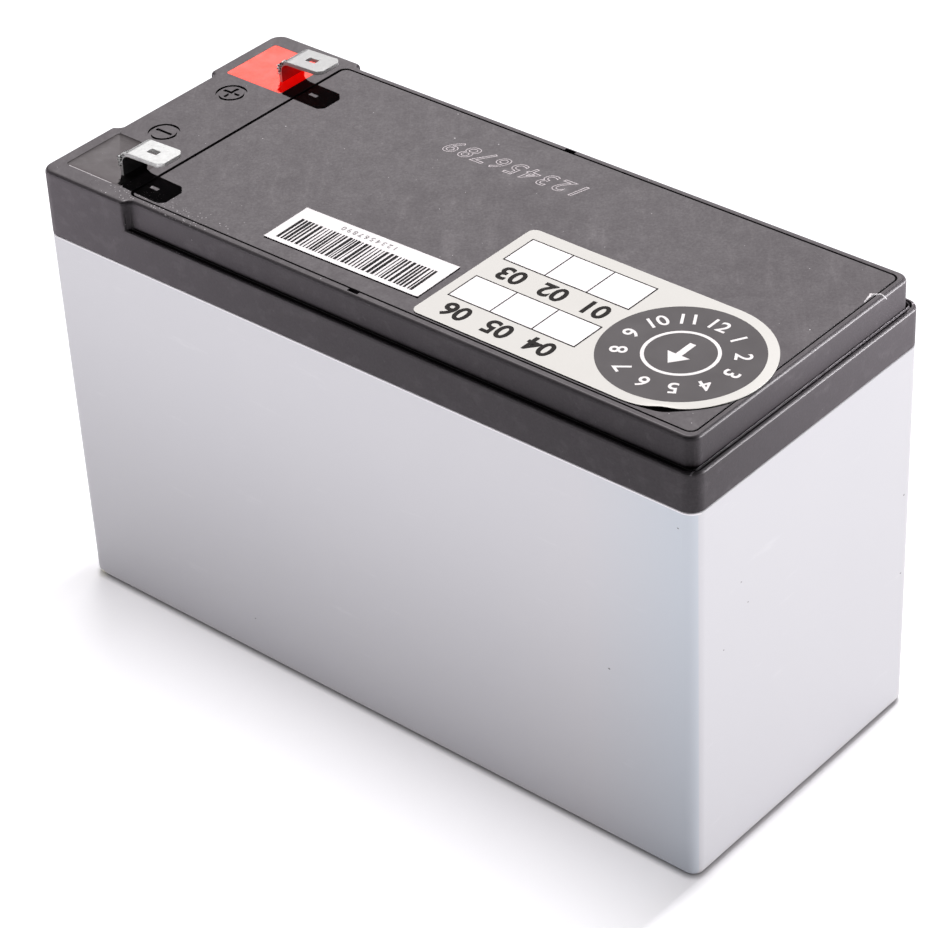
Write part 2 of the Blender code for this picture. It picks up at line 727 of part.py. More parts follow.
def stack_layout():
    """How many positive plates fit across a well, and the felt that then fills the rest."""
    room = WELL_WIDTH - 2 * STACK_SIDE_GAP - NEGATIVE_PLATE
    pair = POSITIVE_PLATE + NEGATIVE_PLATE
    count = max(int(room / (pair + 2 * (LEAST_FELT + 2 * FELT_GAP))), 1)
    felt = (room - count * pair) / (2 * count) - 2 * FELT_GAP
    return count, felt


def plate_middles(side, positive):
    """The Y of each plate's middle, from the middle wall outwards."""
    count, felt = stack_layout()
    pitch = POSITIVE_PLATE + NEGATIVE_PLATE + 2 * (felt + 2 * FELT_GAP)
    first = PARTITION / 2 + STACK_SIDE_GAP + NEGATIVE_PLATE / 2
    offset = pitch / 2 if positive else 0.0
    number = count if positive else count + 1
    return [side * (first + offset + i * pitch) for i in range(number)]


def strap_span(column, side, at_start):
    """The strap's range in X, against the wall at the start or the end of the well."""
    x0, x1, _, _ = well_bounds(column, side)
    gap = WELD_FACE_GAP
    if column == 0 and at_start:
        return x0 + PLATE_END_CLEARANCE, POCKET_X + POST_RADIUS + STRAP_BEYOND_POST
    return (x0 + gap, x0 + STRAP_WIDTH) if at_start else (x1 - STRAP_WIDTH, x1 - gap)


def crossing_x():
    """Where the two far cells are welded through the middle wall."""
    return sum(strap_span(CELLS_PER_ROW - 1, 1, False)) / 2


def plate_side_view(column, side, at_start):
    """A plate in the XZ plane, with its lug reaching up into the strap."""
    x0, x1, _, _ = well_bounds(column, side)
    x0, x1 = x0 + PLATE_END_CLEARANCE, x1 - PLATE_END_CLEARANCE
    low = plate_foot()
    start, end = strap_span(column, side, at_start)
    middle = (max(start, x0) + min(end, x1)) / 2
    lug0, lug1 = middle - PLATE_LUG_WIDTH / 2, middle + PLATE_LUG_WIDTH / 2
    top = STRAP_BOTTOM + STRAP_THICKNESS / 2
    return [
        (x0, low), (x1, low), (x1, PLATE_TOP), (lug1, PLATE_TOP), (lug1, top),
        (lug0, top), (lug0, PLATE_TOP), (x0, PLATE_TOP),
    ]


def plate_foot():
    """Plates stand on the fold of the felt that is wrapped under them."""
    return FLOOR + FELT_SEAT + stack_layout()[1] + FELT_GAP


def add_weld_lug(shape, column, side, at_start, crossing):
    """The upstand beside a wall and the nub that fills half of its weld hole."""
    start, end = strap_span(column, side, at_start)
    reach = PARTITION / 2 - WELD_FACE_GAP / 2
    if crossing:
        x, wall = (start + end) / 2, side * PARTITION / 2
        near, far = wall + side * WELD_FACE_GAP, wall + side * (WELD_FACE_GAP + LUG_THICKNESS)
        half = (end - start) / 2 - WELL_RADIUS
        add_box(shape, x - half, x + half, min(near, far), max(near, far), STRAP_BOTTOM, LUG_TOP)
        nub = ((x, far, WELD_HEIGHT), (x, wall - side * reach, WELD_HEIGHT))
    else:
        outward = -1 if at_start else 1
        face = start if at_start else end
        inner = face - outward * LUG_THICKNESS
        y, half = side * ROW_Y, LUG_WIDTH / 2
        add_box(shape, min(face, inner), max(face, inner), y - half, y + half, STRAP_BOTTOM, LUG_TOP)
        tip = face + outward * (WELD_FACE_GAP + reach)
        nub = ((inner, y, WELD_HEIGHT), (tip, y, WELD_HEIGHT))
    return nub


def join_post(group, side):
    """The terminal post on an end cell's strap, with the spigot that goes through the tab."""
    foot, root = tab_foot_height(), STRAP_BOTTOM + STRAP_THICKNESS / 2
    top, shoulder = foot + TAB_THICKNESS + SPIGOT_HEIGHT, foot - SHOULDER_GAP
    profile = [
        (0.0, top), (SPIGOT_RADIUS, top), (SPIGOT_RADIUS, shoulder),
        (POST_RADIUS, shoulder), (POST_RADIUS, root), (0.0, root),
    ]
    place = (POCKET_X, side * TERMINAL_Y, 0.0)
    combine(group, add_turned(f"{group.name}_post", profile, place), "UNION")


def make_plate_group(name, column, side, positive, finish):
    """All plates of one polarity in a cell, with the strap cast onto their lugs."""
    at_start = positive == (side > 0)
    crossing = column == CELLS_PER_ROW - 1 and not at_start
    start, end = strap_span(column, side, at_start)
    middles = plate_middles(side, positive)
    plate = POSITIVE_PLATE if positive else NEGATIVE_PLATE
    y0, y1 = min(middles) - plate / 2, max(middles) + plate / 2
    if crossing:
        wall_face = side * (PARTITION / 2 + WELD_FACE_GAP)
        y0, y1 = (wall_face, y1) if side > 0 else (y0, wall_face)
    shape = bmesh.new()
    outline = rounded_rectangle(start, end, y0, y1, WELL_RADIUS, SMALL_CORNER_STEPS)
    add_prism(shape, outline, STRAP_BOTTOM, STRAP_TOP)
    group = add_object(name, shape, finish)

    plates = bmesh.new()
    outline = plate_side_view(column, side, at_start)
    for y in middles:
        add_side_profile(plates, outline, y - plate / 2, y + plate / 2)
    combine(group, add_object(f"{name}_plates", plates), "UNION")
    if column == 0 and at_start:
        join_post(group, side)
        return
    lug = bmesh.new()
    nub = add_weld_lug(lug, column, side, at_start, crossing)
    combine(group, add_object(f"{name}_lug", lug), "UNION")
    weld = bmesh.new()
    add_rod(weld, WELD_RADIUS, *nub)
    combine(group, add_object(f"{name}_weld", weld), "UNION")


def make_felt_wraps(cell, column, side, finish):
    """Glass felt folded under each positive plate and up both of its faces."""
    _, felt = stack_layout()
    x0, x1, _, _ = well_bounds(column, side)
    x0, x1 = x0 + FELT_END_CLEARANCE, x1 - FELT_END_CLEARANCE
    low, high = FLOOR + FELT_SEAT, PLATE_TOP + FELT_ABOVE_PLATE
    inner = POSITIVE_PLATE / 2 + FELT_GAP
    outer = inner + felt
    for number, y in enumerate(plate_middles(side, True), 1):
        fold = [(-outer, high), (-outer, low + felt), (-inner, low), (inner, low)]
        fold += [(outer, low + felt), (outer, high), (inner, high), (inner, low + felt)]
        fold += [(-inner, low + felt), (-inner, high)]
        shape = bmesh.new()
        ends = [[(x, y + v, z) for v, z in fold] for x in (x0, x1)]
        add_extrusion(shape, *ends)
        add_object(f"felt_wrap_{cell}_{number}", shape, finish)


def make_cells(positive_finish, negative_finish, felt_finish):
    """Cells 1 to 6 in the order of the current path."""
    path = [(column, 1) for column in range(CELLS_PER_ROW)]
    path += [(column, -1) for column in reversed(range(CELLS_PER_ROW))]
    for cell, (column, side) in enumerate(path, 1):
        make_plate_group(f"positive_group_{cell}", column, side, True, positive_finish)
        make_plate_group(f"negative_group_{cell}", column, side, False, negative_finish)
        make_felt_wraps(cell, column, side, felt_finish)


def make_labels(white_finish, cream_finish):
    """A plain barcode strip and a larger label with one round end."""
    low = LID_TOP + LABEL_GLUE
    disc_x = LENGTH / 2 - DISC_LABEL_FROM_END
    half_x, half_y = BARCODE_LENGTH / 2, BARCODE_WIDTH / 2
    strip_x = disc_x - DISC_LABEL_TAIL - BARCODE_TO_DISC_LABEL - half_x
    shape = bmesh.new()
    add_box(shape, -half_x, half_x, -half_y, half_y, low, low + LABEL_THICKNESS)
    strip = add_object("barcode_label", shape, white_finish)
    strip.location = (strip_x, BARCODE_FROM_SIDE - WIDTH / 2, 0.0)
    strip.rotation_euler = (0.0, 0.0, BARCODE_TURN)

    radius, corner = DISC_LABEL_RADIUS, DISC_LABEL_CORNER
    outline = arc((0.0, 0.0), radius, -math.pi / 2, math.pi / 2, LABEL_ARC_STEPS)
    end = -DISC_LABEL_TAIL
    middle = (end + corner, radius - corner)
    outline += arc(middle, corner, math.pi / 2, math.pi, SMALL_CORNER_STEPS)
    middle = (end + corner, corner - radius)
    outline += arc(middle, corner, math.pi, 1.5 * math.pi, SMALL_CORNER_STEPS)
    shape = bmesh.new()
    add_prism(shape, outline, low, low + LABEL_THICKNESS)
    disc = add_object("round_end_label", shape, cream_finish)
    disc.location = (disc_x, DISC_LABEL_FROM_SIDE - WIDTH / 2, 0.0)


def main():
    clear_scene()
    grey = material("grey_moulded_case", (0.60, 0.62, 0.67), 0.42)
    black = material("black_moulded_lid", (0.035, 0.034, 0.036), 0.40)
    tinned = material("tinned_brass", (0.86, 0.85, 0.82), 0.30, 1.0)
    red = material("red_potting_resin", (0.80, 0.04, 0.02), 0.30)
    dark = material("dark_potting_resin", (0.03, 0.025, 0.03), 0.30)
    rubber = material("black_rubber", (0.015, 0.015, 0.015), 0.75)
    lead = material("positive_lead", (0.16, 0.10, 0.07), 0.60, 0.4)
    grey_lead = material("negative_lead", (0.30, 0.31, 0.33), 0.55, 0.7)
    felt = material("glass_felt", (0.85, 0.85, 0.83), 0.95)
    white = material("white_label_paper", (0.90, 0.90, 0.90), 0.45)
    cream = material("cream_label_film", (0.70, 0.68, 0.58), 0.40)

    make_case(grey)
    make_lid(black)
    make_cover_plate(black)
    make_vent_caps(rubber)
    for name, side, drop, resin in (
        ("positive", 1, RED_SEAL_DROP, red),
        ("negative", -1, DARK_SEAL_DROP, dark),
    ):
        make_tab(f"{name}_tab", side, tinned)
        make_sealing_ring(f"{name}_sealing_ring", side, rubber)
        make_terminal_seal(f"{name}_terminal_seal", side, drop, resin)
    make_cells(lead, grey_lead, felt)
    make_labels(white, cream)


main()
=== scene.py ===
import math
import random

import bmesh
import bpy
from mathutils import Matrix, Vector


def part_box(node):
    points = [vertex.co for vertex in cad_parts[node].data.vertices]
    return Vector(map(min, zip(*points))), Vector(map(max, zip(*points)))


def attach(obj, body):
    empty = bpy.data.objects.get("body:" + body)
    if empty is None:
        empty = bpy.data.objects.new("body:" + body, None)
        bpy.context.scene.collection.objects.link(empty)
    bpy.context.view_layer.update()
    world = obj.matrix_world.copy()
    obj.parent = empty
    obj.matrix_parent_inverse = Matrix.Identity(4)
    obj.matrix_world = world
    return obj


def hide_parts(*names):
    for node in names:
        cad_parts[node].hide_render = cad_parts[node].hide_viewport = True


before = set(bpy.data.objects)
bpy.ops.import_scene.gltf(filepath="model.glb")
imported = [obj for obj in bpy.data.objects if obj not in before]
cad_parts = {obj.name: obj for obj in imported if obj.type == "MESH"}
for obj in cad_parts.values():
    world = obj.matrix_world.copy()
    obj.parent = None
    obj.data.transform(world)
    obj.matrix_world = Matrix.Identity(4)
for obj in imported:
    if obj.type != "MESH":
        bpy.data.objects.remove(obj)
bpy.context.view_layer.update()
mm = 0.001  # everything below is drawn in millimetres
crisp = 30  # degrees: a sharper edge keeps its crease

print("stage 1: frame loaded,", len(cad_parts), "nodes")


def spanOf(node):
    # lowest and highest corner of a CAD node, in millimetres
    low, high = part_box(node)
    return [round(value / mm, 4) for value in (*low, *high)]


def arc(x, y, radius, start, end, steps):
    # angles in degrees, both ends included
    turns = [math.radians(start + (end - start) * i / steps) for i in range(steps + 1)]
    return [(x + radius * math.cos(a), y + radius * math.sin(a)) for a in turns]


def roundedOutline(x0, x1, y0, y1, radius, steps=10):
    r = radius
    return (
        arc(x1 - r, y1 - r, r, 0, 90, steps)
        + arc(x0 + r, y1 - r, r, 90, 180, steps)
        + arc(x0 + r, y0 + r, r, 180, 270, steps)
        + arc(x1 - r, y0 + r, r, 270, 360, steps)
    )


def inset(outline, distance):
    # each point moves inwards, square to its two edges
    moved = []
    for i, point in enumerate(outline):
        here = Vector(point)
        before = (here - Vector(outline[i - 1])).normalized()
        after = (Vector(outline[(i + 1) % len(outline)]) - here).normalized()
        normal = Vector((-before.y - after.y, before.x + after.x)).normalized()
        spread = max(normal.dot(Vector((-before.y, before.x))), 0.5)
        moved.append(tuple(here + normal * distance / spread))
    return moved


def join(shape, a, b, closed=True):
    # quads between two rows of points
    for i in range(len(a) if closed else len(a) - 1):
        j = (i + 1) % len(a)
        shape.faces.new((a[i], a[j], b[j], b[i]))


def loft(shape, rings):
    # rings of (outline, height); a height may be a number or a list, one for each point
    rows = []
    for outline, height in rings:
        levels = height if isinstance(height, list) else [height] * len(outline)
        rows.append([shape.verts.new((x, y, z)) for (x, y), z in zip(outline, levels)])
    for lower, upper in zip(rows, rows[1:]):
        join(shape, lower, upper)
    shape.faces.new(rows[0][::-1])
    shape.faces.new(rows[-1])


def prism(shape, outline, low, high):
    loft(shape, [(outline, low), (outline, high)])


def rectangle(x0, x1, y0, y1):
    return [(x0, y0), (x1, y0), (x1, y1), (x0, y1)]


def quarter(radius, steps):
    # a quarter round from the side upwards: how far inwards, how far below the top
    turns = [math.radians(90 * i / steps) for i in range(steps + 1)]
    return [(radius * (1 - math.cos(a)), radius * (1 - math.sin(a))) for a in turns]


def annulus(shape, x, y, inner, outer, low, high, steps=72):
    # a flat ring with square edges
    def circle(radius, z):
        return [shape.verts.new((px, py, z)) for px, py in arc(x, y, radius, 0, 360, steps)[:-1]]

    loops = [circle(inner, low), circle(outer, low), circle(outer, high), circle(inner, high)]
    for a, b in zip(loops, loops[1:] + loops[:1]):
        join(shape, a, b)


def makePiece(name, shape, finish=None, sharp=crisp):
    # a bmesh drawn in millimetres becomes an object in metres
    bmesh.ops.remove_doubles(shape, verts=shape.verts, dist=1e-4)
    bmesh.ops.recalc_face_normals(shape, faces=shape.faces)
    mesh = bpy.data.meshes.new(name)
    shape.to_mesh(mesh)
    shape.free()
    mesh.transform(Matrix.Scale(mm, 4))
    piece = bpy.data.objects.new(name, mesh)
    bpy.context.scene.collection.objects.link(piece)
    if finish:
        mesh.materials.append(finish)
    mesh.shade_smooth()
    mesh.set_sharp_from_angle(angle=math.radians(sharp))
    return piece


def loftPiece(name, rings, finish=None, sharp=crisp):
    shape = bmesh.new()
    loft(shape, rings)
    return makePiece(name, shape, finish, sharp)


def prismPiece(name, outline, low, high):
    return loftPiece(name, [(outline, low), (outline, high)])


def carve(piece, tool, operation="DIFFERENCE"):
    # one exact boolean, applied at once; the tool goes afterwards
    change = piece.modifiers.new("carve", "BOOLEAN")
    change.operation = operation
    change.solver = "EXACT"
    change.object = tool
    settle(piece)
    bpy.data.objects.remove(tool, do_unlink=True)


def settle(piece):
    # modifiers become real faces
    graph = bpy.context.evaluated_depsgraph_get()
    finished = bpy.data.meshes.new_from_object(piece.evaluated_get(graph))
    piece.modifiers.clear()
    piece.data = finished
    finished.shade_smooth()
    finished.set_sharp_from_angle(angle=math.radians(crisp))


def soften(piece, width):
    # a small round on every sharp edge
    edge = piece.modifiers.new("soften", "BEVEL")
    edge.width = width * mm
    edge.segments = 3
    edge.limit_method = "ANGLE"
    edge.angle_limit = math.radians(40)
    edge.use_clamp_overlap = True
    settle(piece)


def copyOf(node):
    # a welded copy of a CAD node, used only as a boolean tool
    shape = bmesh.new()
    shape.from_mesh(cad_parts[node].data)
    bmesh.ops.remove_doubles(shape, verts=shape.verts, dist=1e-6)
    mesh = bpy.data.meshes.new("toolOf_" + node)
    shape.to_mesh(mesh)
    shape.free()
    tool = bpy.data.objects.new("toolOf_" + node, mesh)
    bpy.context.scene.collection.objects.link(tool)
    return tool


def hollowOf(node, x, y, low, high):
    # the open space of a CAD node inside a box, as a tool
    hollow = prismPiece("hollowOf_" + node, rectangle(-x, x, -y, y), low, high)
    carve(hollow, copyOf(node))
    return hollow


def own(piece, *nodes, slot=None):
    # every piece rides on the one body; some stand for CAD nodes
    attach(piece, "root")
    if nodes:
        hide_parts(*nodes)
    return piece


def dress(piece, finish, *nodes, slot=None):
    # its one material, and even shading for big flat faces beside their rounded edges
    piece.data.materials.clear()
    piece.data.materials.append(finish)
    even = piece.modifiers.new("evenShading", "WEIGHTED_NORMAL")
    even.keep_sharp = True
    even.weight = 60
    return own(piece, *nodes, slot=slot)


def mathNode(operation, swapped=False):
    # one operator of the class below
    def calc(self, other):
        inputs = {0: other, 1: self} if swapped else {0: self, 1: other}
        return self.graph.node("ShaderNodeMath", {"operation": operation}, inputs)

    return calc


class Value:
    # wraps a socket, so that an expression adds its own Math nodes
    def __init__(self, graph, socket):
        self.graph = graph
        self.socket = socket

    __add__, __radd__ = mathNode("ADD"), mathNode("ADD", True)
    __sub__, __rsub__ = mathNode("SUBTRACT"), mathNode("SUBTRACT", True)
    __mul__, __rmul__ = mathNode("MULTIPLY"), mathNode("MULTIPLY", True)
    __truediv__ = mathNode("DIVIDE")
    __gt__, __lt__ = mathNode("GREATER_THAN"), mathNode("LESS_THAN")

    def clamp(self):
        settings = {"operation": "MULTIPLY", "use_clamp": True}
        return self.graph.node("ShaderNodeMath", settings, {0: self, 1: 1.0})


class Graph:
    # any node of one tree: its settings are set first, then its inputs
    def __init__(self, tree):
        self.tree = tree

    def node(self, kind, settings=None, inputs=None, output=0):
        made = self.tree.nodes.new(kind)
        for key, value in (settings or {}).items():
            setattr(made, key, value)
        for key, value in (inputs or {}).items():
            if isinstance(value, Value):
                self.tree.links.new(value.socket, made.inputs[key])
            else:
                made.inputs[key].default_value = value
        return Value(self, made.outputs[output])


class Finish(Graph):
    # one material, with its Principled shader and a few shortcuts
    def __init__(self, name, **constants):
        self.material = bpy.data.materials.new(name)
        self.material.use_nodes = True
        super().__init__(self.material.node_tree)
        self.shader = self.tree.nodes["Principled BSDF"]
        for socket, value in constants.items():
            self.shader.inputs[socket.replace("_", " ")].default_value = value

    def place(self, stretch=(1, 1, 1), turn=0.0):
        # position on the object in millimetres, turned about Z and stretched
        here = self.node("ShaderNodeTexCoord", output=3)
        scale = tuple(1 / mm / s for s in stretch)
        inputs = {0: here, 3: math.radians(turn)}
        here = self.node("ShaderNodeVectorRotate", {"rotation_type": "Z_AXIS"}, inputs)
        return self.node("ShaderNodeVectorMath", {"operation": "MULTIPLY"}, {0: here, 1: scale})

    def noise(self, size, detail=2.0, rough=0.5, where=None, shift=0.0):
        # size is the width of one patch in millimetres
        settings = {"noise_dimensions": "4D"}
        inputs = {0: where or self.place(), 1: shift, 2: 1 / size, 3: detail, 4: rough}
        return self.node("ShaderNodeTexNoise", settings, inputs)

    def cells(self, size, output=0):
        return self.node("ShaderNodeTexVoronoi", None, {0: self.place(), "Scale": 1 / size}, output)

    def blend(self, mask, a, b):
        # colour a where the mask is 0, colour b where it is 1
        def full(tone):
            return tone if isinstance(tone, Value) else (*tone, 1)

        settings = {"data_type": "RGBA"}
        return self.node("ShaderNodeMix", settings, {0: mask, 6: full(a), 7: full(b)}, 2)

    def axis(self, index):
        # one coordinate in millimetres
        return self.node("ShaderNodeSeparateXYZ", None, {0: self.place()}, index)

    def facing(self, index):
        # how far the surface faces along one axis
        normal = self.node("ShaderNodeNewGeometry", output=1)
        return self.node("ShaderNodeSeparateXYZ", None, {0: normal}, index)

    def skin(self, *layers):
        # bumps: a height that runs from 0 to 1, its depth in millimetres and its strength
        under = {}
        for height, depth, strength in layers:
            inputs = {"Strength": strength, "Distance": depth * mm, "Height": height}
            under["Normal"] = self.node("ShaderNodeBump", None, {**inputs, **under})
        return under["Normal"]

    def feed(self, **links):
        for socket, value in links.items():
            self.tree.links.new(value.socket, self.shader.inputs[socket.replace("_", " ")])
        return self.material


def speckMask(finish, size, radius, share):
    # round specks: some cells of a pattern hold one, and their sizes differ
    near = finish.cells(size)
    tone = finish.cells(size, output=1)
    chance = finish.node("ShaderNodeSeparateColor", None, {0: tone}, 0)
    width = finish.node("ShaderNodeSeparateColor", None, {0: tone}, 1)
    here = (radius / size * (0.35 + 0.65 * width) - near) * (size / radius * 3)
    return (here.clamp() * (chance < share)).clamp()


def makeMottled(name, roughness, size, detail, low, high):
    # a plain finish for a tiny mark
    finish = Finish(name, Roughness=roughness)
    return finish.feed(Base_Color=finish.blend(finish.noise(size, detail), low, high))


caseSettings = {
    "draft": 0.3,
    "cornerRadius": 2.8,
    "footRadius": 1.8,
    "lipRadius": 0.25,
    "jointGap": 0.15,
    "tongueInset": 1.3,
    "wallSpace": (74.1, 31.1),  # box in which the CAD wells are found
    "floorSpace": 1.2,
    "tone": (0.500, 0.494, 0.524),
    "warmTone": (0.525, 0.516, 0.540),
    "paintedCoolShadeTone": (0.435, 0.475, 0.530),
    "paintedLipHighlightTone": (0.76, 0.73, 0.76),
    "paintedCoolShadeFrom": 52.0,  # the painted cool shade starts here along X, on the front
    "rubbedTone": (0.70, 0.69, 0.71),
    "dirtTone": (0.16, 0.15, 0.15),
    "footTone": (0.34, 0.30, 0.24),
    "stain": (-73.2, 0.7),  # a yellowish smear at the front foot: place along X, height
    "stainTone": (0.85, 0.83, 0.62),
    "roughness": 0.44,
    "marks": [  # face, place along it, height, size
        ("front", 56.8, 39.0, 0.42), ("front", 72.0, 75.7, 0.30), ("front", -30.0, 9.2, 0.28),
        ("end", -19.7, 58.5, 0.30), ("end", -17.7, 53.1, 0.26), ("end", -24.5, 47.0, 0.24),
        ("end", 29.1, 48.4, 0.34), ("end", 29.1, 30.9, 0.30),
    ],
    "markSides": 9,
    "markProud": 0.012,
}


def makeCaseFinish(settings, joint):
    finish = Finish("greyMouldedCase", Specular_IOR_Level=0.45)
    flow = finish.noise(34, 2, 0.55, finish.place((1, 1, 2.2)))
    cloud = finish.noise(9, 3, 0.6)
    grain = finish.noise(0.35, 2, 0.6)
    tone = finish.blend((flow * 0.7 + cloud * 0.5 - 0.1).clamp(), settings["tone"], settings["warmTone"])
    rubbed = (finish.noise(3.0, 4, 0.7, finish.place((6, 6, 1))) - 0.62).clamp() * 1.6
    tone = finish.blend(rubbed, tone, settings["rubbedTone"])
    dirt = speckMask(finish, 9.0, 0.16, 0.22)
    tone = finish.blend(dirt * 0.55, tone, settings["dirtTone"])
    foot = (1.0 - finish.axis(2) / 2.4).clamp() * (0.25 + 0.5 * finish.noise(5, 3))
    tone = finish.blend(foot.clamp() * 0.5, tone, settings["footTone"])
    # painted shade: beyond this place the front face is darker and bluer, standing in for weaker, cooler
    # light there
    paintedCoolShade = ((finish.axis(0) - settings["paintedCoolShadeFrom"]) / 20.0).clamp() * (finish.facing(1) < -0.5)
    tone = finish.blend(paintedCoolShade * 0.75, tone, settings["paintedCoolShadeTone"])
    aside, above = finish.axis(0) - settings["stain"][0], finish.axis(2) - settings["stain"][1]
    smear = (1.6 - (aside * aside / 1.1 + above * above / 0.35)).clamp() * (finish.facing(1) < -0.1)
    tone = finish.blend(smear * 0.9, tone, settings["stainTone"])
    # painted highlight: a pale band along the case's top lip on the front, standing in for light caught
    # by its small round
    lip = ((finish.axis(2) - (joint - 0.36)) * 8.0).clamp() * (finish.facing(1) < -0.3)
    tone = finish.blend(lip, tone, settings["paintedLipHighlightTone"])
    shine = settings["roughness"] - 0.06 + 0.12 * cloud + 0.1 * rubbed
    skin = finish.skin((grain, 0.010, 0.5), (flow, 0.30, 0.25))  # grain, and faint sinks
    return finish.feed(Base_Color=tone, Roughness=shine, Normal=skin)


def makeCase(settings):
    x0, y0, z0, x1, y1, tongueTop = spanOf("container")
    joint = spanOf("lid")[2] - settings["jointGap"]
    top = roundedOutline(x0, x1, y0, y1, settings["cornerRadius"], 12)
    foot, lip = quarter(settings["footRadius"], 8), quarter(settings["lipRadius"], 4)
    rings = [(inset(top, settings["draft"] + down), z0 + inward) for inward, down in foot]
    rings += [(inset(top, inward), joint - down) for inward, down in lip]
    tongue = inset(top, settings["tongueInset"])
    case = loftPiece("caseBody", rings + [(tongue, joint), (tongue, tongueTop)])
    carve(case, hollowOf("container", *settings["wallSpace"], settings["floorSpace"], tongueTop + 1))
    finish = makeCaseFinish(settings, joint)
    return dress(case, finish, "container", slot="grey_moulded_case")


def makeMarks(settings):
    # small chips and specks on the case walls, a hair proud of the skin
    rng = random.Random(7)
    _, y0, _, x1, _, _ = spanOf("container")
    height, sides = spanOf("lid")[2], settings["markSides"]
    shape = bmesh.new()
    for face, along, z, size in settings["marks"]:
        drift = settings["draft"] * (1 - z / height) - settings["markProud"]
        points, loops = [], []
        for i in range(sides):
            angle = 2 * math.pi * i / sides
            radius = size * rng.uniform(0.55, 1.0)
            points.append((along + radius * math.cos(angle), z + 0.7 * radius * math.sin(angle)))
        for layer, grow in ((0.05, 1.0), (0.0, 0.8)):
            ring = [(along + (u - along) * grow, z + (v - z) * grow) for u, v in points]
            if face == "front":
                ring = [(u, y0 + drift + layer, v) for u, v in ring]
            else:
                ring = [(x1 - drift - layer, u, v) for u, v in ring]
            loops.append([shape.verts.new(spot) for spot in ring])
        under, over = loops
        join(shape, under, over)
        shape.faces.new(over)
        shape.faces.new(under[::-1])
    finish = makeMottled("darkSpeck", 0.6, 0.2, 2, (0.07, 0.065, 0.07), (0.22, 0.21, 0.22))
    return own(makePiece("caseSpecks", shape, finish))


makeCase(caseSettings)
makeMarks(caseSettings)
print("stage 2: case")


lidSettings = {
    "cornerRadius": 2.8,
    "ledge": 87.2,
    "skirtRadius": 0.7,
    "footRadius": 0.15,
    "step": 1.5,
    "ridge": 0.75,
    "fin": (1.20, 1.34, 87.09, 87.19),  # a slanted line in the groove: its foot, crest and heights
    "grooveFloor": 86.4,
    "topRadius": 0.9,
    "upperCornerRadius": 2.3,
    "blockLength": 20.9,
    "blockWidth": 18.6,
    "jogAngle": 70,
    "pocketRadius": 0.6,
    "pocketGrow": 0.1,
    "pocketChamfer": 0.04,
    "recessFloor": 90.9,
    "recessChamfer": 0.10,
    "coverGap": (0.55, 0.27),  # beside the terminals, and on the other three sides
    "notch": (2.4, 0.8, 91.2),
    "signs": {"plus": (-66.1, 9.2), "minus": (-66.0, -9.2)},
    "signRing": (2.44, 3.04),
    "signBar": (5.0, 0.76),
    "signDepth": 0.30,
    "tone": (0.027, 0.0225, 0.026),
    "roughness": 0.68,
    "edgeShine": 0.38,
    "pocketEdgeHighlight": (-71.5, -60.5, 0.13),  # a painted highlight line beside the dark pocket, for light caught by its edge: from, to, half its width
}


blackSettings = {
    "paler": 2.1,  # tone of the lighter patches, against the base tone
    "wipeTone": (0.30, 0.28, 0.29),
    "scratchTone": (0.45, 0.44, 0.45),
    "dustTone": (0.80, 0.79, 0.80),
    "settled": (-48.0, -29.0),  # most dust lies round this place, in a long patch
    "pocketEdgeHighlightTone": (0.72, 0.70, 0.71),
    "crest": (74.1, 74.36, 86.8),  # the painted highlight on the groove's thin fin at the end: from, to, above
    "paintedGrooveHighlightTone": (0.50, 0.47, 0.50),
}


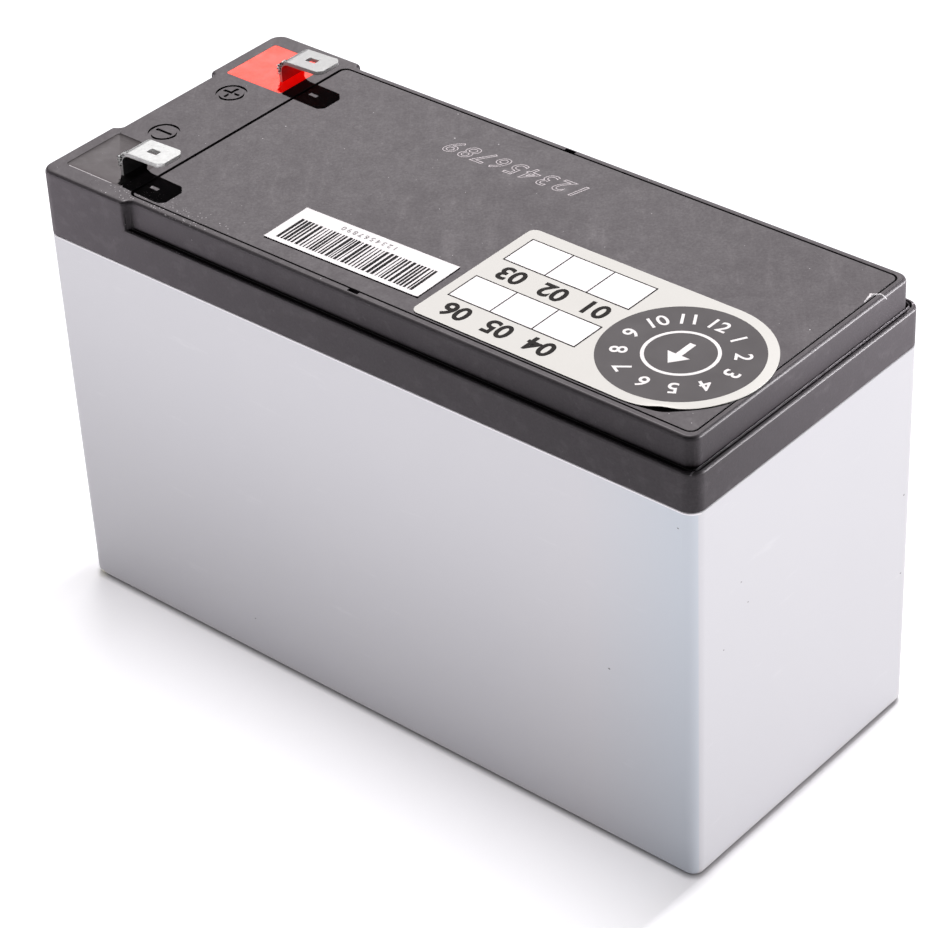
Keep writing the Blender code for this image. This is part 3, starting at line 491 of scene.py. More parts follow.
def makeBlackFinish(name, settings, shift=0.0):
    # mould-grained black plastic: sheen patches, wipe streaks, dust and fine scratches, and painted
    # highlight lines beside the dark pocket and in the end's groove
    finish = Finish(name, Specular_IOR_Level=0.42, Coat_IOR=2.7, Coat_Roughness=0.35)
    cloud = finish.noise(16, 4, 0.62, shift=shift)
    patch = finish.noise(3.5, 3, 0.6, shift=shift)
    grain = finish.noise(0.30, 2, 0.65, shift=shift)
    streak = finish.noise(2.2, 3, 0.6, finish.place((7, 1, 1), 52), shift)
    wipe = ((streak - 0.5) * 2.2).clamp() * (cloud > 0.47)
    scratch = finish.noise(1.3, 1, 0.5, finish.place((40, 0.35, 1), 24), shift)
    scratch = ((scratch - 0.68) * 9.0).clamp() * ((patch - 0.45) * 4.0).clamp()
    speckle = finish.noise(0.42, 2, 0.7, shift=shift)
    paler = tuple(c * blackSettings["paler"] for c in settings["tone"])
    tone = finish.blend((cloud * 0.4 + speckle * 1.7 - 0.6).clamp(), settings["tone"], paler)
    tone = finish.blend(wipe * 0.13, tone, blackSettings["wipeTone"])
    tone = finish.blend(scratch * 0.10, tone, blackSettings["scratchTone"])
    upward = ((finish.facing(2) - 0.3) * 2.0).clamp()
    along, aside = (finish.axis(i) - blackSettings["settled"][i] for i in (0, 1))
    settled = (1.2 - (along * along / 300.0 + aside * aside / 16.0)).clamp() * upward
    dust = speckMask(finish, 4.3, 0.20, 0.40) + speckMask(finish, 8.7, 0.30, 0.40)
    lint = speckMask(finish, 1.5, 0.11, 0.30) + speckMask(finish, 0.50, 0.14, settled)
    loose = (dust + lint * 0.8).clamp() * (0.2 + 0.8 * upward)
    tone = finish.blend(loose, tone, blackSettings["dustTone"])
    # painted highlight: a pale line along the dark pocket's near edge, standing in for light caught by
    # the pocket's rim
    if "pocketEdgeHighlight" in settings:
        start, end, half = settings["pocketEdgeHighlight"]
        off = (finish.axis(1) - (spanOf("negative_terminal_seal")[1] - 0.2)) / half
        line = (1.3 - off * off).clamp() * (finish.axis(0) > start) * (finish.axis(0) < end)
        line = (line * upward * (patch * 1.7 - 0.1)).clamp()
        tone = finish.blend(line, tone, blackSettings["pocketEdgeHighlightTone"])
    # painted highlight: the fin in the end's groove lies in shade, so a pale tone stands in for the
    # light line there
    near, far, above = blackSettings["crest"]
    crest = (finish.axis(0) > near) * (finish.axis(0) < far) * (finish.axis(2) > above)
    tone = finish.blend(crest * (patch * 0.8 + 0.3), tone, blackSettings["paintedGrooveHighlightTone"])
    level = finish.facing(2)
    rubbed = ((level - 0.30) * 5.0).clamp() * ((0.985 - level) * 40.0).clamp()
    shine = settings["roughness"] + 0.09 * (patch - 0.5) + 0.06 * (cloud - 0.5)
    shine = shine + 0.20 * (speckle - 0.5) - 0.04 * wipe
    worn = rubbed * settings["edgeShine"] * (0.75 + 0.5 * patch)  # edges are polished by handling
    skin = finish.skin((grain, 0.035, 0.8), (patch, 0.05, 0.12))
    return finish.feed(Base_Color=tone, Roughness=shine, Coat_Weight=worn, Normal=skin)


def jogOutline(settings, start, along, inward):
    # an S-shaped step from a block's face to the wall behind it
    angle = math.radians(settings["jogAngle"])
    radius = settings["step"] / (2 * (1 - math.cos(angle)))
    run = 2 * radius * math.sin(angle)
    points = []
    for i in range(9):
        a = angle * i / 8
        points.append((radius * math.sin(a), radius * (1 - math.cos(a))))
    points += [(run - u, settings["step"] - v) for u, v in reversed(points[:-1])]
    start, along, inward = Vector(start), Vector(along), Vector(inward)
    return [tuple(start + along * u + inward * v) for u, v in points]


def upperOutline(settings, x0, x1, y1):
    # flush at the two terminal blocks, stepped in elsewhere
    step, radius = settings["step"], settings["upperCornerRadius"]
    corner = settings["cornerRadius"]
    jogX, jogY = x0 + settings["blockLength"], y1 - settings["blockWidth"]
    half = arc(x1 - step - radius, y1 - step - radius, radius, 0, 90, 10)
    half += reversed(jogOutline(settings, (jogX, y1), (1, 0), (0, -1)))
    half += arc(x0 + corner, y1 - corner, corner, 90, 180, 12)
    half += jogOutline(settings, (x0, jogY), (0, -1), (1, 0))
    return half + [(x, -y) for x, y in reversed(half)]


def makeSkirt(settings, x0, x1, y0, y1, low):
    # side wall, rounded edge, thin line, ridge and the floor of the deep groove
    outline = roundedOutline(x0, x1, y0, y1, settings["cornerRadius"], 12)
    ledge, foot = settings["ledge"], settings["footRadius"]
    ridge, floor = settings["ridge"], settings["grooveFloor"]
    near, far, rise, crest = settings["fin"]
    profile = [(foot, low), (0.3 * foot, low + 0.3 * foot), (0.0, low + foot)]
    profile += [(inward, ledge - down) for inward, down in quarter(settings["skirtRadius"], 8)]
    profile += [
        (ridge - 0.02, ledge - 0.01), (ridge, ledge - 0.05), (ridge, floor), (near, floor),
        (near, rise), (far, crest), (far + 0.04, crest), (far + 0.05, crest - 0.02),
        (far + 0.06, floor),
    ]
    return loftPiece("lidBody", [(inset(outline, d) if d else outline, z) for d, z in profile])


def makeUpper(settings, x0, x1, y1, top):
    outline = upperOutline(settings, x0, x1, y1)
    rings = [(outline, settings["grooveFloor"] - 2)]
    rings += [(inset(outline, inward), top - down) for inward, down in quarter(settings["topRadius"], 8)]
    return loftPiece("upperBody", rings)


def makeRecessTool(settings, top):
    # the cover's recess with a broken edge, and its two side notches
    px0, py0, _, px1, py1, _ = spanOf("vent_cover_plate")
    wide, gap = settings["coverGap"]
    chamfer = settings["recessChamfer"]
    edge = (px0 - wide, px1 + gap, py0 - gap, py1 + gap)
    outline = roundedOutline(*edge, 1.6, 8)
    rings = [(outline, settings["recessFloor"]), (outline, top - chamfer)]
    rings += [(inset(outline, -chamfer), top), (inset(outline, -chamfer - 0.5), top + 0.5)]
    tool = loftPiece("recessTool", rings)
    length, reach, low = settings["notch"]
    for side in (-1, 1):
        near, far = sorted((side * (edge[3] - 0.5), side * (edge[3] + reach)))
        notch = roundedOutline(-length / 2, length / 2, near, far, 0.12, 3)
        carve(tool, prismPiece("notchTool", notch, low, top + 0.5), "UNION")
    return tool


def makeSignTool(settings, sign, top):
    # one engraved polarity sign: a ring with its bar or cross
    x, y = settings["signs"][sign]
    inner, outer = settings["signRing"]
    length, width = settings["signBar"]
    low = top - settings["signDepth"]
    shape = bmesh.new()
    annulus(shape, x, y, inner, outer, low, top + 0.5)
    tool = makePiece("signRingTool", shape)
    half, thin = length / 2 - 0.55, width / 2
    bars = [(half, thin)] if sign == "minus" else [(half, thin), (thin, half)]
    for a, b in bars:
        bar = roundedOutline(x - a, x + a, y - b, y + b, thin * 0.6, 3)
        carve(tool, prismPiece("signBarTool", bar, low, top + 0.5), "UNION")
    return tool


def makePocketTool(settings, node, top):
    x0, y0, z0, x1, y1, _ = spanOf(node)
    grow, chamfer = settings["pocketGrow"], settings["pocketChamfer"]
    outline = roundedOutline(x0 - grow, x1 + grow, y0 - grow, y1 + grow, settings["pocketRadius"], 6)
    rings = [(outline, z0 - grow), (outline, top - chamfer), (inset(outline, -chamfer), top)]
    return loftPiece("pocketTool", rings + [(inset(outline, -0.5), top + 0.46)])


def makeLid(settings):
    x0, y0, low, x1, y1, top = spanOf("lid")
    lid = makeSkirt(settings, x0, x1, y0, y1, low)
    carve(lid, makeUpper(settings, x0, x1, y1, top), "UNION")
    carve(lid, hollowOf("lid", 74.6, 31.6, low - 0.1, 86.2))
    carve(lid, hollowOf("lid", 73.8, 30.8, 86.1, settings["recessFloor"] - 0.05))
    carve(lid, makeRecessTool(settings, top))
    for node in ("positive_terminal_seal", "negative_terminal_seal"):
        carve(lid, makePocketTool(settings, node, top))
    for sign in settings["signs"]:
        carve(lid, makeSignTool(settings, sign, top))
    return dress(lid, makeBlackFinish("blackMouldedLid", settings), "lid", slot="black_moulded_lid")


makeLid(lidSettings)
print("stage 3: lid")


coverSettings = {
    "radius": 1.35,
    "edge": 0.12,
    "tone": (0.028, 0.0235, 0.027),
    "roughness": 0.675,
    "edgeShine": 0.6,
}


def makeCover(settings):
    x0, y0, z0, x1, y1, z1 = spanOf("vent_cover_plate")
    outline = roundedOutline(x0, x1, y0, y1, settings["radius"], 8)
    rings = [(inset(outline, 0.1), z0), (outline, z0 + 0.1)]
    rings += [(inset(outline, inward), z1 - down) for inward, down in quarter(settings["edge"], 4)]
    finish = makeBlackFinish("blackCoverPlastic", settings, 3.7)
    return dress(loftPiece("ventCover", rings), finish, "vent_cover_plate", slot="black_moulded_lid")


makeCover(coverSettings)
print("stage 4: cover")


def postPlace():
    # where both posts stand along X
    ring = spanOf("positive_sealing_ring")
    return (ring[0] + ring[3]) / 2


tabSettings = {
    "thickness": 0.8,
    "reach": 10.9,  # from the neck's outer face to the tip
    "drop": 0.35,  # the blade rises by this much from its bend to its tip
    "bend": 2.6,
    "footBend": 1.3,
    "chamfer": 0.95,
    "chamferRound": 0.30,
    "chamferEase": 0.12,
    "hole": (2.35, 1.3, 4.85, 0.12),  # length, width, place from the tip, corner radius
    "post": 1.4,
    "edge": 0.15,
    "tone": (0.95, 0.945, 0.94),
    "dullTone": (0.62, 0.61, 0.61),
    "pitTone": (0.24, 0.22, 0.20),
    "paintedNeckReflectionEnd": -57.6,  # the painted shade and reflection on the neck and bend reach up to here along X
    "roughness": 0.36,
    "metallic": 0.55,
}


def makeTinFinish(name, settings, dull, stain):
    # tinned brass: dulled plating with rolling lines and pits; under the bend, painted shade and painted
    # reflection of the resin
    finish = Finish(name, Metallic=settings["metallic"])
    cloud = finish.noise(1.6, 4, 0.62)
    lines = finish.noise(0.12, 2, 0.6, finish.place((14, 1, 1)))
    pits = speckMask(finish, 0.55, 0.10, 0.35)
    bright = ((cloud - 0.5) * 2.2 + lines * 0.25 + 0.6 - dull).clamp()
    tone = finish.blend(bright, settings["dullTone"], settings["tone"])
    tone = finish.blend(pits * 0.5, tone, settings["pitTone"])
    # painted shade and reflection: the inner face of the neck and bend takes the given tone, near black
    # where it would mirror the shaded lid, red where it would mirror the red resin
    under = ((finish.facing(0) - finish.facing(2)) * 2.0 - 0.5).clamp()
    under = under * (finish.axis(0) < settings["paintedNeckReflectionEnd"])
    tone = finish.blend(under * (0.90 + 0.08 * cloud), tone, stain)
    shine = settings["roughness"] - 0.10 + 0.22 * cloud + 0.05 * lines
    skin = finish.skin((lines, 0.012, 0.5), (cloud, 0.08, 0.45), (1.0 - pits, 0.03, 0.6))
    return finish.feed(Base_Color=tone, Roughness=shine, Normal=skin)


def tabOutline(settings, foot, top, end, tip):
    # side view: foot, small bend, neck, large bend, blade
    thick, bend, footBend = settings["thickness"], settings["bend"], settings["footBend"]
    neck = tip - settings["reach"]
    points = [(end, foot)]
    points += arc(neck + thick - footBend, foot + footBend, footBend, -90, 0, 8)
    low = top - settings["drop"] - bend
    points += arc(neck + bend, low, bend - thick, 180, 92, 12)
    points += [(tip, top - thick), (tip, top)]
    points += arc(neck + bend, low, bend, 92, 180, 14)
    inner = footBend - thick
    points += arc(neck - inner, foot + thick + inner, inner, 0, -90, 8)
    return points + [(end, foot + thick)]


def makeTab(name, node, settings, finish):
    x0, y0, z0, x1, y1, z1 = spanOf(node)
    outline = tabOutline(settings, z0, z1, x0, x1)
    shape = bmesh.new()
    near, far = ([shape.verts.new((x, y, z)) for x, z in outline] for y in (y0, y1))
    shape.faces.new(near)
    shape.faces.new(far[::-1])
    join(shape, far, near)
    tab = makePiece(name, shape)

    # the blade seen from above: clipped corners with a small round
    cut, ease = settings["chamfer"], settings["chamferEase"]
    reach = cut + settings["chamferRound"]
    shape = bmesh.new()
    for side, y in ((-1, y0), (1, y1)):
        corner = [
            (x1 - reach, y), (x1 - cut, y - side * ease), (x1 - ease, y - side * cut),
            (x1, y - side * reach), (x1 + 1, y - side * reach), (x1 + 1, y + side),
            (x1 - reach, y + side),
        ]
        prism(shape, corner[::side], z1 - 2, z1 + 1)
    carve(tab, makePiece("tabCornerTool", shape))
    length, width, fromTip, radius = settings["hole"]
    x, y = x1 - fromTip, (y0 + y1) / 2
    hole = roundedOutline(x - length / 2, x + length / 2, y - width / 2, y + width / 2, radius, 4)
    shape = bmesh.new()
    prism(shape, hole, z1 - 2, z1 + 1)
    prism(shape, arc(postPlace(), y, settings["post"], 0, 360, 32)[:-1], z0 - 1, z0 + 2)
    carve(tab, makePiece("tabHoleTool", shape))
    soften(tab, settings["edge"])
    return dress(tab, finish, node, slot="tinned_brass")


burrSettings = {
    "seed": 31,
    "steps": 30,
    "turns": (104, 108),  # degrees: where it starts round the bend, and how far it runs
    "tones": ((0.02, 0.02, 0.02), (0.95, 0.94, 0.94)),
}


def makeBurr(name, node, settings, tab, finish):
    # the torn ridge that the press left along one side of the bend
    rng = random.Random(settings["seed"])
    _, y0, _, tip, _, top = spanOf(node)
    bend = tab["bend"]
    cx, cz = tip - tab["reach"] + bend, top - tab["drop"] - bend
    shape = bmesh.new()
    lines = [[], [], [], []]
    start, run = settings["turns"]
    for i in range(settings["steps"]):
        t = i / (settings["steps"] - 1)
        angle, swell = math.radians(start + run * t), math.sin(math.pi * t)
        spots = [  # place across the blade and height over its skin
            (y0 + 1.55, -0.06),
            (y0 + 0.95 + rng.uniform(-0.35, 0.35), 0.02 + rng.uniform(0.04, 0.36) * swell),
            (y0 + 0.15 - rng.uniform(0.08, 0.85) * swell, rng.uniform(-0.35, 0.36) * swell),
            (y0 + 0.04, -0.60),
        ]
        for line, (y, lift) in zip(lines, spots):
            radius = bend + lift
            if angle < math.pi:
                x, z = cx + radius * math.cos(angle), cz + radius * math.sin(angle)
            else:
                x, z = cx - radius, cz - bend * (angle - math.pi)
            line.append(shape.verts.new((x, y, z)))
    for a, b in zip(lines, lines[1:] + lines[:1]):
        join(shape, a, b, closed=False)
    shape.faces.new([line[0] for line in lines])
    shape.faces.new([line[-1] for line in reversed(lines)])
    return own(makePiece(name, shape, finish, 20))


def makeTornFinish(settings):
    finish = Finish("tornMetal", Metallic=0.6)
    patch = finish.noise(0.5, 3, 0.7)
    tone = finish.blend(((patch - 0.47) * 9.0).clamp(), *settings["tones"])
    return finish.feed(Base_Color=tone, Roughness=0.30 + 0.3 * patch)


tinFinishes = {
    # the last tone is painted onto each tab's inner neck: red as a painted reflection of the red resin,
    # near black as painted shade
    "positive": makeTinFinish("tinnedBrassPositive", tabSettings, 0.90, (0.50, 0.004, 0.010)),
    "negative": makeTinFinish("tinnedBrassNegative", tabSettings, 0.0, (0.012, 0.011, 0.012)),
}
tornFinish = makeTornFinish(burrSettings)
for sign, tinFinish in tinFinishes.items():
    makeTab(sign + "PushTab", sign + "_tab", tabSettings, tinFinish)
    makeBurr(sign + "TabBurr", sign + "_tab", burrSettings, tabSettings, tornFinish)
print("stage 5: tabs")


resinSettings = {
    "cornerRadius": 0.5,
    "creep": (0.10, 0.67),  # climb at the pocket walls, and the slow rise towards them
    "creepWidth": (0.35, 3.4),
    "collar": (0.42, 0.34),  # width and height of the climb round a neck
    "redTones": ((0.80, 0.014, 0.002), (0.88, 0.085, 0.045)),  # fresh and faded
    "redDust": (0.9, 0.5, 0.45),
    # tones of the painted glow: red emission standing in for light scattered inside the resin
    "glowTones": ((0.9, 0.0, 0.0), (1.0, 0.004, 0.002)),
    "darkTones": ((0.026, 0.020, 0.021), (0.044, 0.033, 0.033)),
    "darkDust": (0.65, 0.63, 0.62),
    "grow": 0.09,  # into the pocket's walls
    "clear": 0.025,  # from the rim to the lid's top
    "steps": (0, 0.05, 0.12, 0.22, 0.36, 0.55, 0.85, 1.3, 2.0, 3.0, 4.5),
    "post": (3.1, 90.7),  # radius and top of the post's room
}


def makeRedFinish(settings):
    finish = Finish(
        "redPottingResin", Subsurface_Weight=0.55, Subsurface_Radius=(0.006, 0.0006, 0.0004),
        Subsurface_Scale=1.0, Specular_IOR_Level=0.42, Specular_Tint=(1.0, 0.62, 0.45, 1.0),
        Emission_Strength=0.55,
    )
    cloud = finish.noise(4, 3, 0.6)
    grain = finish.noise(0.5, 3, 0.6)
    faded = ((cloud - 0.42) * 3.0).clamp()
    tone = finish.blend(faded, *settings["redTones"])
    dust = speckMask(finish, 2.3, 0.09, 0.30)
    tone = finish.blend(dust * 0.5, tone, settings["redDust"])
    shine = 0.56 + 0.10 * faded
    skin = finish.skin((grain, 0.02, 0.4), (cloud, 0.12, 0.4))
    # painted glow: the resin emits red, though it is no lamp, so it stays bright red in the tab's shade
    glow = finish.blend(cloud, *settings["glowTones"])
    return finish.feed(Base_Color=tone, Roughness=shine, Normal=skin, Emission_Color=glow)


def makeDarkFinish(settings):
    finish = Finish("darkPottingResin", Specular_IOR_Level=0.34)
    cloud = finish.noise(3.5, 3, 0.6)
    grain = finish.noise(0.45, 3, 0.6)
    tone = finish.blend(cloud, *settings["darkTones"])
    dust = speckMask(finish, 2.6, 0.10, 0.4) + 0.5 * speckMask(finish, 1.1, 0.05, 0.3)
    tone = finish.blend(dust.clamp(), tone, settings["darkDust"])
    shine = 0.56 + 0.16 * cloud
    skin = finish.skin((grain, 0.025, 0.5), (cloud, 0.20, 0.5))
    return finish.feed(Base_Color=tone, Roughness=shine, Normal=skin)


def makeResin(tint, sign, settings, finish):
    # a slab with a curved-up rim, and a small climb round the neck of the tab
    node, tabNode = sign + "_terminal_seal", sign + "_tab"
    x0, y0, z0, x1, y1, level = spanOf(node)
    grow = settings["grow"]
    x0, y0, x1, y1 = x0 - grow, y0 - grow, x1 + grow, y1 + grow
    room = (spanOf("lid")[5] - level - settings["clear"]) / sum(settings["creep"])
    climbs = [(min(1.0, room) * c, w) for c, w in zip(settings["creep"], settings["creepWidth"])]

    def ring(d, z):
        corner = max(settings["cornerRadius"] - d, 0.12)
        return roundedOutline(x0 + d, x1 - d, y0 + d, y1 - d, corner, 6), z

    rings = [ring(0, z0)]
    for d in settings["steps"]:
        rings.append(ring(d, level + sum(c * math.exp(-d / w) for c, w in climbs)))
    resin = loftPiece(tint + "Resin", rings)
    carve(resin, copyOf(tabNode))
    _, ty0, _, tip, ty1, _ = spanOf(tabNode)
    neck0 = tip - tabSettings["reach"]
    neck1 = neck0 + tabSettings["thickness"]
    wide, high = settings["collar"]
    collar = []
    for i in range(7):
        t = i / 6
        d = wide * (1 - t) ** 2 + 0.01
        z = level - 0.02 + high * t * t
        collar.append((roundedOutline(neck0 - d, neck1 + d, ty0 - d, ty1 + d, 0.05 + 0.6 * d, 5), z))
    rim = loftPiece("neckCollar", collar)
    carve(rim, copyOf(tabNode))
    joined = bmesh.new()
    joined.from_mesh(resin.data)
    joined.from_mesh(rim.data)
    joined.to_mesh(resin.data)
    joined.free()
    bpy.data.objects.remove(rim, do_unlink=True)
    radius, high = settings["post"]
    post = arc(postPlace(), (ty0 + ty1) / 2, radius, 0, 360, 32)[:-1]
    carve(resin, prismPiece("postTool", post, z0 - 1, high))
    return dress(resin, finish, node, slot=tint + "_potting_resin")


makeResin("red", "positive", resinSettings, makeRedFinish(resinSettings))
makeResin("dark", "negative", resinSettings, makeDarkFinish(resinSettings))
print("stage 6: resin")


labelSettings = {
    "barcode": {
        "centre": (-7.5, -19.4), "size": (35.3, 11.7), "turn": 1.4, "grid": (36, 12),
        "wave": 0.018, "cornerLift": 0.05,
    },
    "bars": {
        "centre": (-0.15, -1.15), "size": (31.2, 7.2), "seed": 12,
        "widths": (0.22, 0.30, 0.44, 0.62), "gaps": (0.27, 0.36, 0.50), "least": 0.3, "proud": 0.032,
    },
    "smallRow": {"centre": (-1.5, 4.2), "size": 1.7, "turn": 181.4},
    "round": {"centre": (57.0, -12.1), "radius": 16.6, "tail": 45.0, "corner": 1.5},
    "lift": {"place": (64.4, -26.9), "height": 0.42, "spread": 2.3},
    "rim": (0.12, 0.3, 0.5, 0.75, 1.0, 1.3),  # rings in which the rim's waves die away
    "disc": {"centre": (57.2, -12.05), "radius": 14.45, "ring": (6.15, 6.80)},
    "dialNumbers": (10.3, 4.3),  # radius of their circle, and their size
    "arrow": [
        (-0.62, -3.4), (0.62, -3.4), (0.62, 0.6), (2.3, 0.6), (0, 3.6), (-2.3, 0.6), (-0.62, 0.6),
    ],
    "boxes": [(14.4, 41.9, -6.6, 1.5), (14.1, 41.7, -21.1, -13.6)],
    "boxNumbers": (5.6, 3.2),  # size, and how far below a box
    "frame": 0.24,
    "ink": 0.02,
    "sunk": 0.03,  # how far print reaches into its paper
}


def makePaperFinish(name, tone, shade, roughness, fibre=0.02):
    finish = Finish(name, Specular_IOR_Level=0.4)
    cloud = finish.noise(7, 3, 0.6)
    fibres = finish.noise(0.28, 3, 0.65)
    long = finish.noise(0.5, 2, 0.6, finish.place((3, 1, 1), 35))
    mix = (cloud * 0.6 + fibres * 0.35 + long * 0.25 - 0.15).clamp()
    colour = finish.blend(mix, shade, tone)
    dust = speckMask(finish, 4.0, 0.10, 0.25)
    colour = finish.blend(dust * 0.5, colour, (0.35, 0.34, 0.33))
    skin = finish.skin((fibres, fibre, 0.4), (cloud, 0.06, 0.3))
    return finish.feed(Base_Color=colour, Roughness=roughness + 0.1 * cloud, Normal=skin)


def makeInkFinish(name, tone, paler, roughness=0.9, gloss=0.15):
    # printed ink that lies a little thin over the paper's fibres
    finish = Finish(name, Specular_IOR_Level=gloss)
    thin = ((finish.noise(0.25, 3, 0.7) - 0.56) * 5.0).clamp() * 0.35
    cloud = finish.noise(5, 3, 0.6)
    colour = finish.blend((thin + 0.15 * cloud).clamp(), tone, paler)
    dust = speckMask(finish, 2.9, 0.10, 0.25)
    colour = finish.blend(dust, colour, (0.6, 0.6, 0.6))
    skin = finish.skin((finish.noise(0.3, 2), 0.01, 0.4))
    return finish.feed(Base_Color=colour, Roughness=roughness + 0.08 * cloud, Normal=skin)


def turned(point, centre, degrees):
    a, (x, y) = math.radians(degrees), point
    x, y = x * math.cos(a) - y * math.sin(a), x * math.sin(a) + y * math.cos(a)
    return centre[0] + x, centre[1] + y


def makeStrip(settings, finish):
    # a white strip on a grid, so that it can lie a little unevenly
    low, high = spanOf("barcode_label")[2::3]
    part = settings["barcode"]
    length, width = part["size"]
    columns, rows = part["grid"]
    wave, cornerLift = part["wave"], part["cornerLift"]
    shape = bmesh.new()

    def spot(i, j, z):
        # wavy inside, flat along the edges, a little up at the corners
        u, v = length * (i / columns - 0.5), width * (j / rows - 0.5)
        if min(i, columns - i, j, rows - j):
            z += wave * math.sin(u * 0.55) * math.sin(v * 0.6 + 0.4)
        elif i in (0, columns) and j in (0, rows):
            z += cornerLift
        return shape.verts.new((*turned((u, v), part["centre"], part["turn"]), z))

    under, over = (
        [[spot(i, j, z) for j in range(rows + 1)] for i in range(columns + 1)] for z in (low, high)
    )
    for sheet in (under, over):
        for a, b in zip(sheet, sheet[1:]):
            join(shape, b, a, closed=False)
    for end in (0, -1):
        join(shape, [row[end] for row in under], [row[end] for row in over], closed=False)
        join(shape, under[end], over[end], closed=False)
    return own(makePiece("whiteStrip", shape, finish), "barcode_label", slot="white_label_paper")


def makeBars(settings, finish):
    # a made-up row of bars across the strip
    part, bars = settings["barcode"], settings["bars"]
    rng = random.Random(bars["seed"])
    top = spanOf("barcode_label")[5]
    length, height = bars["size"]
    cx, cy = bars["centre"]
    shape = bmesh.new()
    at = -length / 2
    while at < length / 2 - bars["least"]:
        wide = min(rng.choice(bars["widths"]), length / 2 - at)
        bar = rectangle(cx + at, cx + at + wide, cy - height / 2, cy + height / 2)
        bar = [turned(p, part["centre"], part["turn"]) for p in bar]
        prism(shape, bar, top - settings["sunk"], top + bars["proud"])
        at += wide + rng.choice(bars["gaps"])
    return own(makePiece("stripBars", shape, finish))


def makeSmallRow(settings, finish):
    # a faint row of small figures beside the bars
    row, part = settings["smallRow"], settings["barcode"]
    shape = bmesh.new()
    x, y = turned(row["centre"], part["centre"], part["turn"])
    mesh = letterMesh("1 2 3 4 5 6 7 8 9 0", row["size"], thick=0.03)
    addLetters(shape, mesh, x, y, spanOf("barcode_label")[5] + 0.01, row["turn"])
    return own(makePiece("stripFigures", shape, finish))


def roundLabelOutline(part):
    cx, cy = part["centre"]
    radius, corner = part["radius"], part["corner"]
    left = cx - part["tail"]
    top = [(cx - i * part["tail"] / 24, cy + radius) for i in range(1, 23)]
    outline = arc(cx, cy, radius, -90, 90, 72) + top
    outline += arc(left + corner, cy + radius - corner, corner, 90, 180, 6)
    outline += arc(left + corner, cy - radius + corner, corner, 180, 270, 6)
    return outline + [(x, 2 * cy - y) for x, y in reversed(top)]


def makeRoundLabel(settings, finish):
    # cream film: its rim lifts off the lid at one place
    low, high = spanOf("round_end_label")[2::3]
    outline = roundLabelOutline(settings["round"])
    lift, rim = settings["lift"], settings["rim"]

    def ring(d, base, strength):
        edge, heights = inset(outline, d) if d else outline, []
        for x, y in edge:
            away = math.dist((x, y), lift["place"]) / lift["spread"]
            wave = 0.010 * math.sin(x * 0.41 + y * 0.23) + 0.008 * math.sin(y * 0.9)
            heights.append(base + strength * (lift["height"] * math.exp(-away * away) + wave))
        return edge, heights

    rings = [(inset(outline, rim[-1]), low), ring(0.8, low, 0.3), ring(0, low, 1), ring(0, high, 1)]
    rings += [ring(d, high, (1 - d / rim[-1]) ** 1.5) for d in rim]
    label = loftPiece("roundEndLabel", rings, sharp=50)
    return dress(label, finish, "round_end_label", slot="cream_label_film")


def makeBoxes(settings, white, dark):
    # two rows of empty write-on boxes with thin dark frames
    top = spanOf("round_end_label")[5]
    low, ink, half = top - settings["sunk"], settings["ink"], settings["frame"] / 2
    fields, lines = bmesh.new(), bmesh.new()
    for x0, x1, y0, y1 in settings["boxes"]:
        prism(fields, rectangle(x0, x1, y0, y1), low, top + ink)
        borders = [rectangle(x0 - half, x1 + half, y - half, y + half) for y in (y0, y1)]
        for x in (x0 + (x1 - x0) * i / 3 for i in range(4)):
            borders.append(rectangle(x - half, x + half, y0 + half, y1 - half))
        for line in borders:
            prism(lines, line, low, top + 2 * ink)
    own(makePiece("writeOnFields", fields, white))
    own(makePiece("fieldFrames", lines, dark))


def letterMesh(text, size, offset=0.0, line=0.0, shear=0.0, thick=0.0):
    # Blender's own font, filled or as a thin outline, centred on its middle
    curve = bpy.data.curves.new("figures", "FONT")
    curve.body, curve.size, curve.offset = text, size, offset
    curve.shear, curve.extrude = shear, thick
    curve.align_x = curve.align_y = "CENTER"
    if line:
        curve.fill_mode = "NONE"
        curve.bevel_depth = line
        curve.bevel_resolution = 1
    holder = bpy.data.objects.new("figures", curve)
    bpy.context.scene.collection.objects.link(holder)
    graph = bpy.context.evaluated_depsgraph_get()
    mesh = bpy.data.meshes.new_from_object(holder.evaluated_get(graph))
    bpy.data.objects.remove(holder, do_unlink=True)
    return mesh


def addLetters(shape, mesh, x, y, z, degrees):
    placed = mesh.copy()
    placed.transform(Matrix.Translation((x, y, z)) @ Matrix.Rotation(math.radians(degrees), 4, "Z"))
    shape.from_mesh(placed)
    bpy.data.meshes.remove(placed)


def makeRowFigures(settings, finish):
    top = spanOf("round_end_label")[5] + settings["ink"]
    size, below = settings["boxNumbers"]
    shape = bmesh.new()
    for row, (x0, x1, y0, _) in enumerate(settings["boxes"]):
        for i in range(3):
            mesh = letterMesh(f"{3 * row + i + 1:02d}", size, offset=0.15, thick=0.02)
            addLetters(shape, mesh, x1 - (x1 - x0) * (i + 0.5) / 3, y0 - below, top, 180)
    return own(makePiece("rowFigures", shape, finish))


